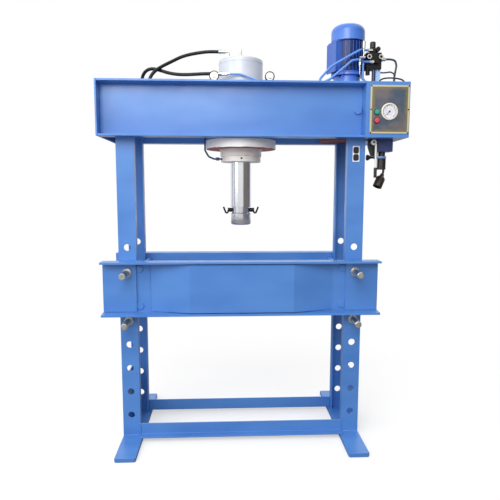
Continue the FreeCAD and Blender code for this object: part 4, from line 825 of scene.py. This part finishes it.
# in metres: the front of the painted shade disc, and the hole's height over the gland's underside
SHADE_DISC_FROM, HOLE_UP = -0.1205, 0.019
fit(turned("spanner_hole_painted_shade", [(0, 0), (5.9, 0), (5.9, 2), (0, 2)],
           (0, SHADE_DISC_FROM, GLAND_LOW + HOLE_UP), "y", 24), "pointer_black", "carriage")

# ---- control panel --------------------------------------------------------------------------

CASE_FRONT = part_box("gauge_case")[0].y
dial_low, dial_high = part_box("gauge_dial")
GAUGE = (dial_low + dial_high) / 2
DIAL_FACE = dial_low.y
DIAL_RADIUS = (dial_high.x - dial_low.x) / 2
# shares of the dial's radius: the outer end of the marks, the inner ends of the long and the
# short ones, and the middle circle
MARK_OUT, LONG_IN, SHORT_IN, MIDDLE_RING = 0.92, 0.74, 0.82, 0.45
# 270 degrees of scale, from 45 degrees past straight down, with a longer mark every fifth
SCALE_FROM, SCALE_SPAN, SPACES = 45, 270, 50
# in metres: how far a mark's front stands off the dial, how thick it is, and its two widths
INK_LIFT, INK_THICK, LONG_WIDE, SHORT_WIDE = 0.0003, 0.0002, 0.0016, 0.0008


def dial_mark(turn, inner, outer, wide):
    """One printed mark: a thin bar along a radius of the dial, turned from straight down.  Its
    front and back are rings of four corners, each closed at its middle."""
    way = np.array([-math.sin(turn), 0.0, -math.cos(turn)])
    side = np.array([-way[2], 0.0, way[0]]) * wide / 2
    base = np.array([GAUGE.x, DIAL_FACE - INK_LIFT, GAUGE.z])
    corners = ((inner, -1), (inner, 1), (outer, 1), (outer, -1))
    front = np.array([base + way * r + side * s for r, s in corners])
    back = front + np.array([0, INK_THICK, 0])
    middles = [np.repeat(ring.mean(0)[None], 4, 0) for ring in (front, back)]
    return surface("mark", np.array([middles[0], front, back, middles[1]]), around=True)


marks = []
for step in range(SPACES + 1):
    turn = math.radians(SCALE_FROM + SCALE_SPAN * step / SPACES)
    long = step % 5 == 0
    marks.append(dial_mark(turn, DIAL_RADIUS * (LONG_IN if long else SHORT_IN),
                           DIAL_RADIUS * MARK_OUT, LONG_WIDE if long else SHORT_WIDE))
# two fine printed circles, one along the outer ends of the marks and one round the middle
for share in (MARK_OUT, MIDDLE_RING):
    edge = DIAL_RADIUS / MM * share
    marks.append(turned("ring", [(edge, 0), (edge + 0.5, 0), (edge + 0.5, -0.3), (edge, -0.3)],
                        (GAUGE.x, DIAL_FACE, GAUGE.z), "y"))
fit(joined("dial_scale_marks", marks), "pointer_black")

# the glass is 1.4 mm thick, 0.4 mm smaller all round than the dial and 1.2 mm behind the rim
PANE = DIAL_RADIUS / MM - 0.4
glass = turned("gauge_glass", [(0, 0), (PANE, 0), (PANE, 1.4), (0, 1.4)],
               (GAUGE.x, CASE_FRONT + 0.0012, GAUGE.z), "y")
fit(glass, "dial_white", material=window_glass())

# the collar round each button starts 2 mm inside the panel and stands 2.5 mm proud of it
PANEL_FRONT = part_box("control_panel")[0].y
COLLAR = [(15.4, 0), (18.5, 0), (18.5, -3), (17.2, -4.5), (15.4, -4.5)]
# each collar is black plastic, and its black also stands in as painted shade round its button
for node in ("start_button", "stop_button"):
    low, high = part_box(node)
    middle = (low + high) / 2
    fit(turned(node + "_collar", COLLAR, (middle.x, PANEL_FRONT + 0.002, middle.z), "y"),
        "black_plastic")

# ---- plate on the right column, with a plain border and two blank ovals -----------------------

# in metres: the plate's corners in X and Z and its thickness, how far an oval's front stands off
# the column and how thick it is, its margins aside and below, its height and the ovals' pitch
PLATE_LOW, PLATE_HIGH = (0.664, 1.722), (0.706, 1.815)
PLATE_THICK, OVAL_LIFT, OVAL_THICK = 0.0012, 0.0014, 0.0004
OVAL_ASIDE, OVAL_UP, OVAL_TALL, OVAL_PITCH = 0.004, 0.005, 0.040, 0.043
backing = plate("column_plate", (PLATE_LOW[0], -COLUMN_FACE - PLATE_THICK, PLATE_LOW[1]),
                (PLATE_HIGH[0], -COLUMN_FACE, PLATE_HIGH[1]), 0.3)
fit(backing, "dial_white")


def oval_window(name, low, high, corner=0.6, steps=40):
    """A flat panel with round corners, closed at its middle: a superellipse, whose point is
    middle + half (sign(cos a) |cos a|^corner, sign(sin a) |sin a|^corner)."""
    angle = np.linspace(0, 2 * math.pi, steps, endpoint=False)
    shape = np.stack([np.sign(np.cos(angle)) * np.abs(np.cos(angle)) ** corner,
                      np.zeros(steps),
                      np.sign(np.sin(angle)) * np.abs(np.sin(angle)) ** corner], -1)
    middle = np.array([(low[0] + high[0]) / 2, 0, (low[1] + high[1]) / 2])
    half = np.array([(high[0] - low[0]) / 2, 0, (high[1] - low[1]) / 2])
    front = -COLUMN_FACE - OVAL_LIFT
    back = front + OVAL_THICK
    rings = [middle + half * shape * share + np.array([0, y, 0])
             for share, y in ((0, back), (1, back), (1, front), (0, front))]
    return surface(name, np.array(rings), around=True)


ovals = []
for i in range(2):
    foot = PLATE_LOW[1] + OVAL_UP + i * OVAL_PITCH
    ovals.append(oval_window("oval", (PLATE_LOW[0] + OVAL_ASIDE, foot),
                             (PLATE_HIGH[0] - OVAL_ASIDE, foot + OVAL_TALL)))
fit(joined("column_plate_ovals", ovals), "pointer_black")

# ---- bolts ----------------------------------------------------------------------------------

lid_low, lid_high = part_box("tank_lid")
# in metres: the bolts' distance from the lid's ends, and from the middle to each row
BOLT_INSET, BOLT_ROW = 0.022, 0.165
# the heads are 13 mm across the flats and 6 mm tall
lid_bolts = [hexagon_bolt("bolt", (x, y, lid_high.z), 13, 6)
             for x in (lid_low.x + BOLT_INSET, lid_high.x - BOLT_INSET)
             for y in (-BOLT_ROW, BOLT_ROW)]
fit(joined("lid_bolts", lid_bolts), "zinc_steel")

# ---- stage ----------------------------------------------------------------------------------

# in metres: the floor's reach, and its drop, which keeps it clear of the faces of the feet
FLOOR_REACH, FLOOR_DROP = 14.0, 0.0005
# the share of pure white near the middle, and from where to where in metres it grows to all
WHITE_NEAR, FADE_FROM, FADE_TO = 0.45, 0.7, 2.4


def floor():
    """A large pale floor that fades into the white room behind it.  It throws back only a part
    of the light on it, as a grey floor outside the view would."""
    ways = (-FLOOR_REACH, FLOOR_REACH)
    slab = surface("floor", np.array([[[x, y, 0.0] for x in ways] for y in ways]))
    material, tree, shader = finish("pale_studio_floor", "f4f4f4", roughness=0.9)
    path = add(tree, "ShaderNodeLightPath")
    tree.links.new(shade(tree, path.outputs["Is Camera Ray"], "8a8a8c", "fafafa"),
                   shader.inputs["Base Color"])
    away = add(tree, "ShaderNodeVectorMath", {0: here(tree)}, operation="LENGTH").outputs["Value"]
    fade = between(tree, away, WHITE_NEAR, 1.0, FADE_FROM, FADE_TO)
    white = add(tree, "ShaderNodeMath", {0: fade, 1: path.outputs["Is Camera Ray"]},
                operation="MULTIPLY")
    glow = add(tree, "ShaderNodeEmission", {"Color": (1, 1, 1, 1), "Strength": 1.0})
    mix = add(tree, "ShaderNodeMixShader",
              {0: white.outputs[0], 1: shader.outputs[0], 2: glow.outputs[0]})
    tree.links.new(mix.outputs[0], tree.nodes["Material Output"].inputs["Surface"])
    coat(slab, material)
    slab.location.z = -FLOOR_DROP


floor()


def studio_world():
    """A white room that grows brighter from low down to overhead, with a dim brown-grey part
    to the right, a little in front, that shows as a dark band in bright round pieces.  The
    camera sees the room as plain white."""
    world = bpy.data.worlds.new("studio")
    bpy.context.scene.world = world
    world.use_nodes = True
    tree = world.node_tree
    backdrop = tree.nodes["Background"]
    way = add(tree, "ShaderNodeTexCoord").outputs["Generated"]
    parts = add(tree, "ShaderNodeSeparateXYZ", {0: way})
    rise = between(tree, parts.outputs["Z"], 0.85, 1.1, -0.2, 0.7)
    aim = Vector((0.95, -0.3, 0.0)).normalized()
    toward = add(tree, "ShaderNodeVectorMath", {0: way, 1: tuple(aim)}, operation="DOT_PRODUCT")
    dark = between(tree, toward.outputs["Value"], 0.0, 1.0, 0.64, 0.72)
    tone = shade(tree, dark, "ffffff", "827b75")
    lit = add(tree, "ShaderNodeVectorMath", {0: tone}, operation="SCALE")
    tree.links.new(rise, lit.inputs["Scale"])
    path = add(tree, "ShaderNodeLightPath")
    seen = add(tree, "ShaderNodeMix", data_type="RGBA")
    tree.links.new(path.outputs["Is Camera Ray"], seen.inputs[0])
    tree.links.new(lit.outputs[0], seen.inputs[6])
    seen.inputs[7].default_value = (1, 1, 1, 1)
    tree.links.new(seen.outputs[2], backdrop.inputs["Color"])
    backdrop.inputs["Strength"].default_value = 1.0


def lamp(name, at, aim, size, power):
    """A soft square light that faces a point: its side in metres and its power in watts."""
    light = bpy.data.lights.new(name, "AREA")
    light.shape, light.size, light.energy = "SQUARE", size, power
    holder = bpy.data.objects.new(name, light)
    holder.location = at
    holder.rotation_euler = (Vector(aim) - Vector(at)).to_track_quat("-Z", "Y").to_euler()
    bpy.context.collection.objects.link(holder)


studio_world()
lamp("key_light", at=(-0.8, -3.6, 3.6), aim=(0, 0, 1.4), size=2.4, power=100)
lamp("fill_light", at=(-3.2, -2.6, 2.6), aim=(0, 0, 1.2), size=2.0, power=40)
bpy.context.scene.view_settings.view_transform = "Standard"
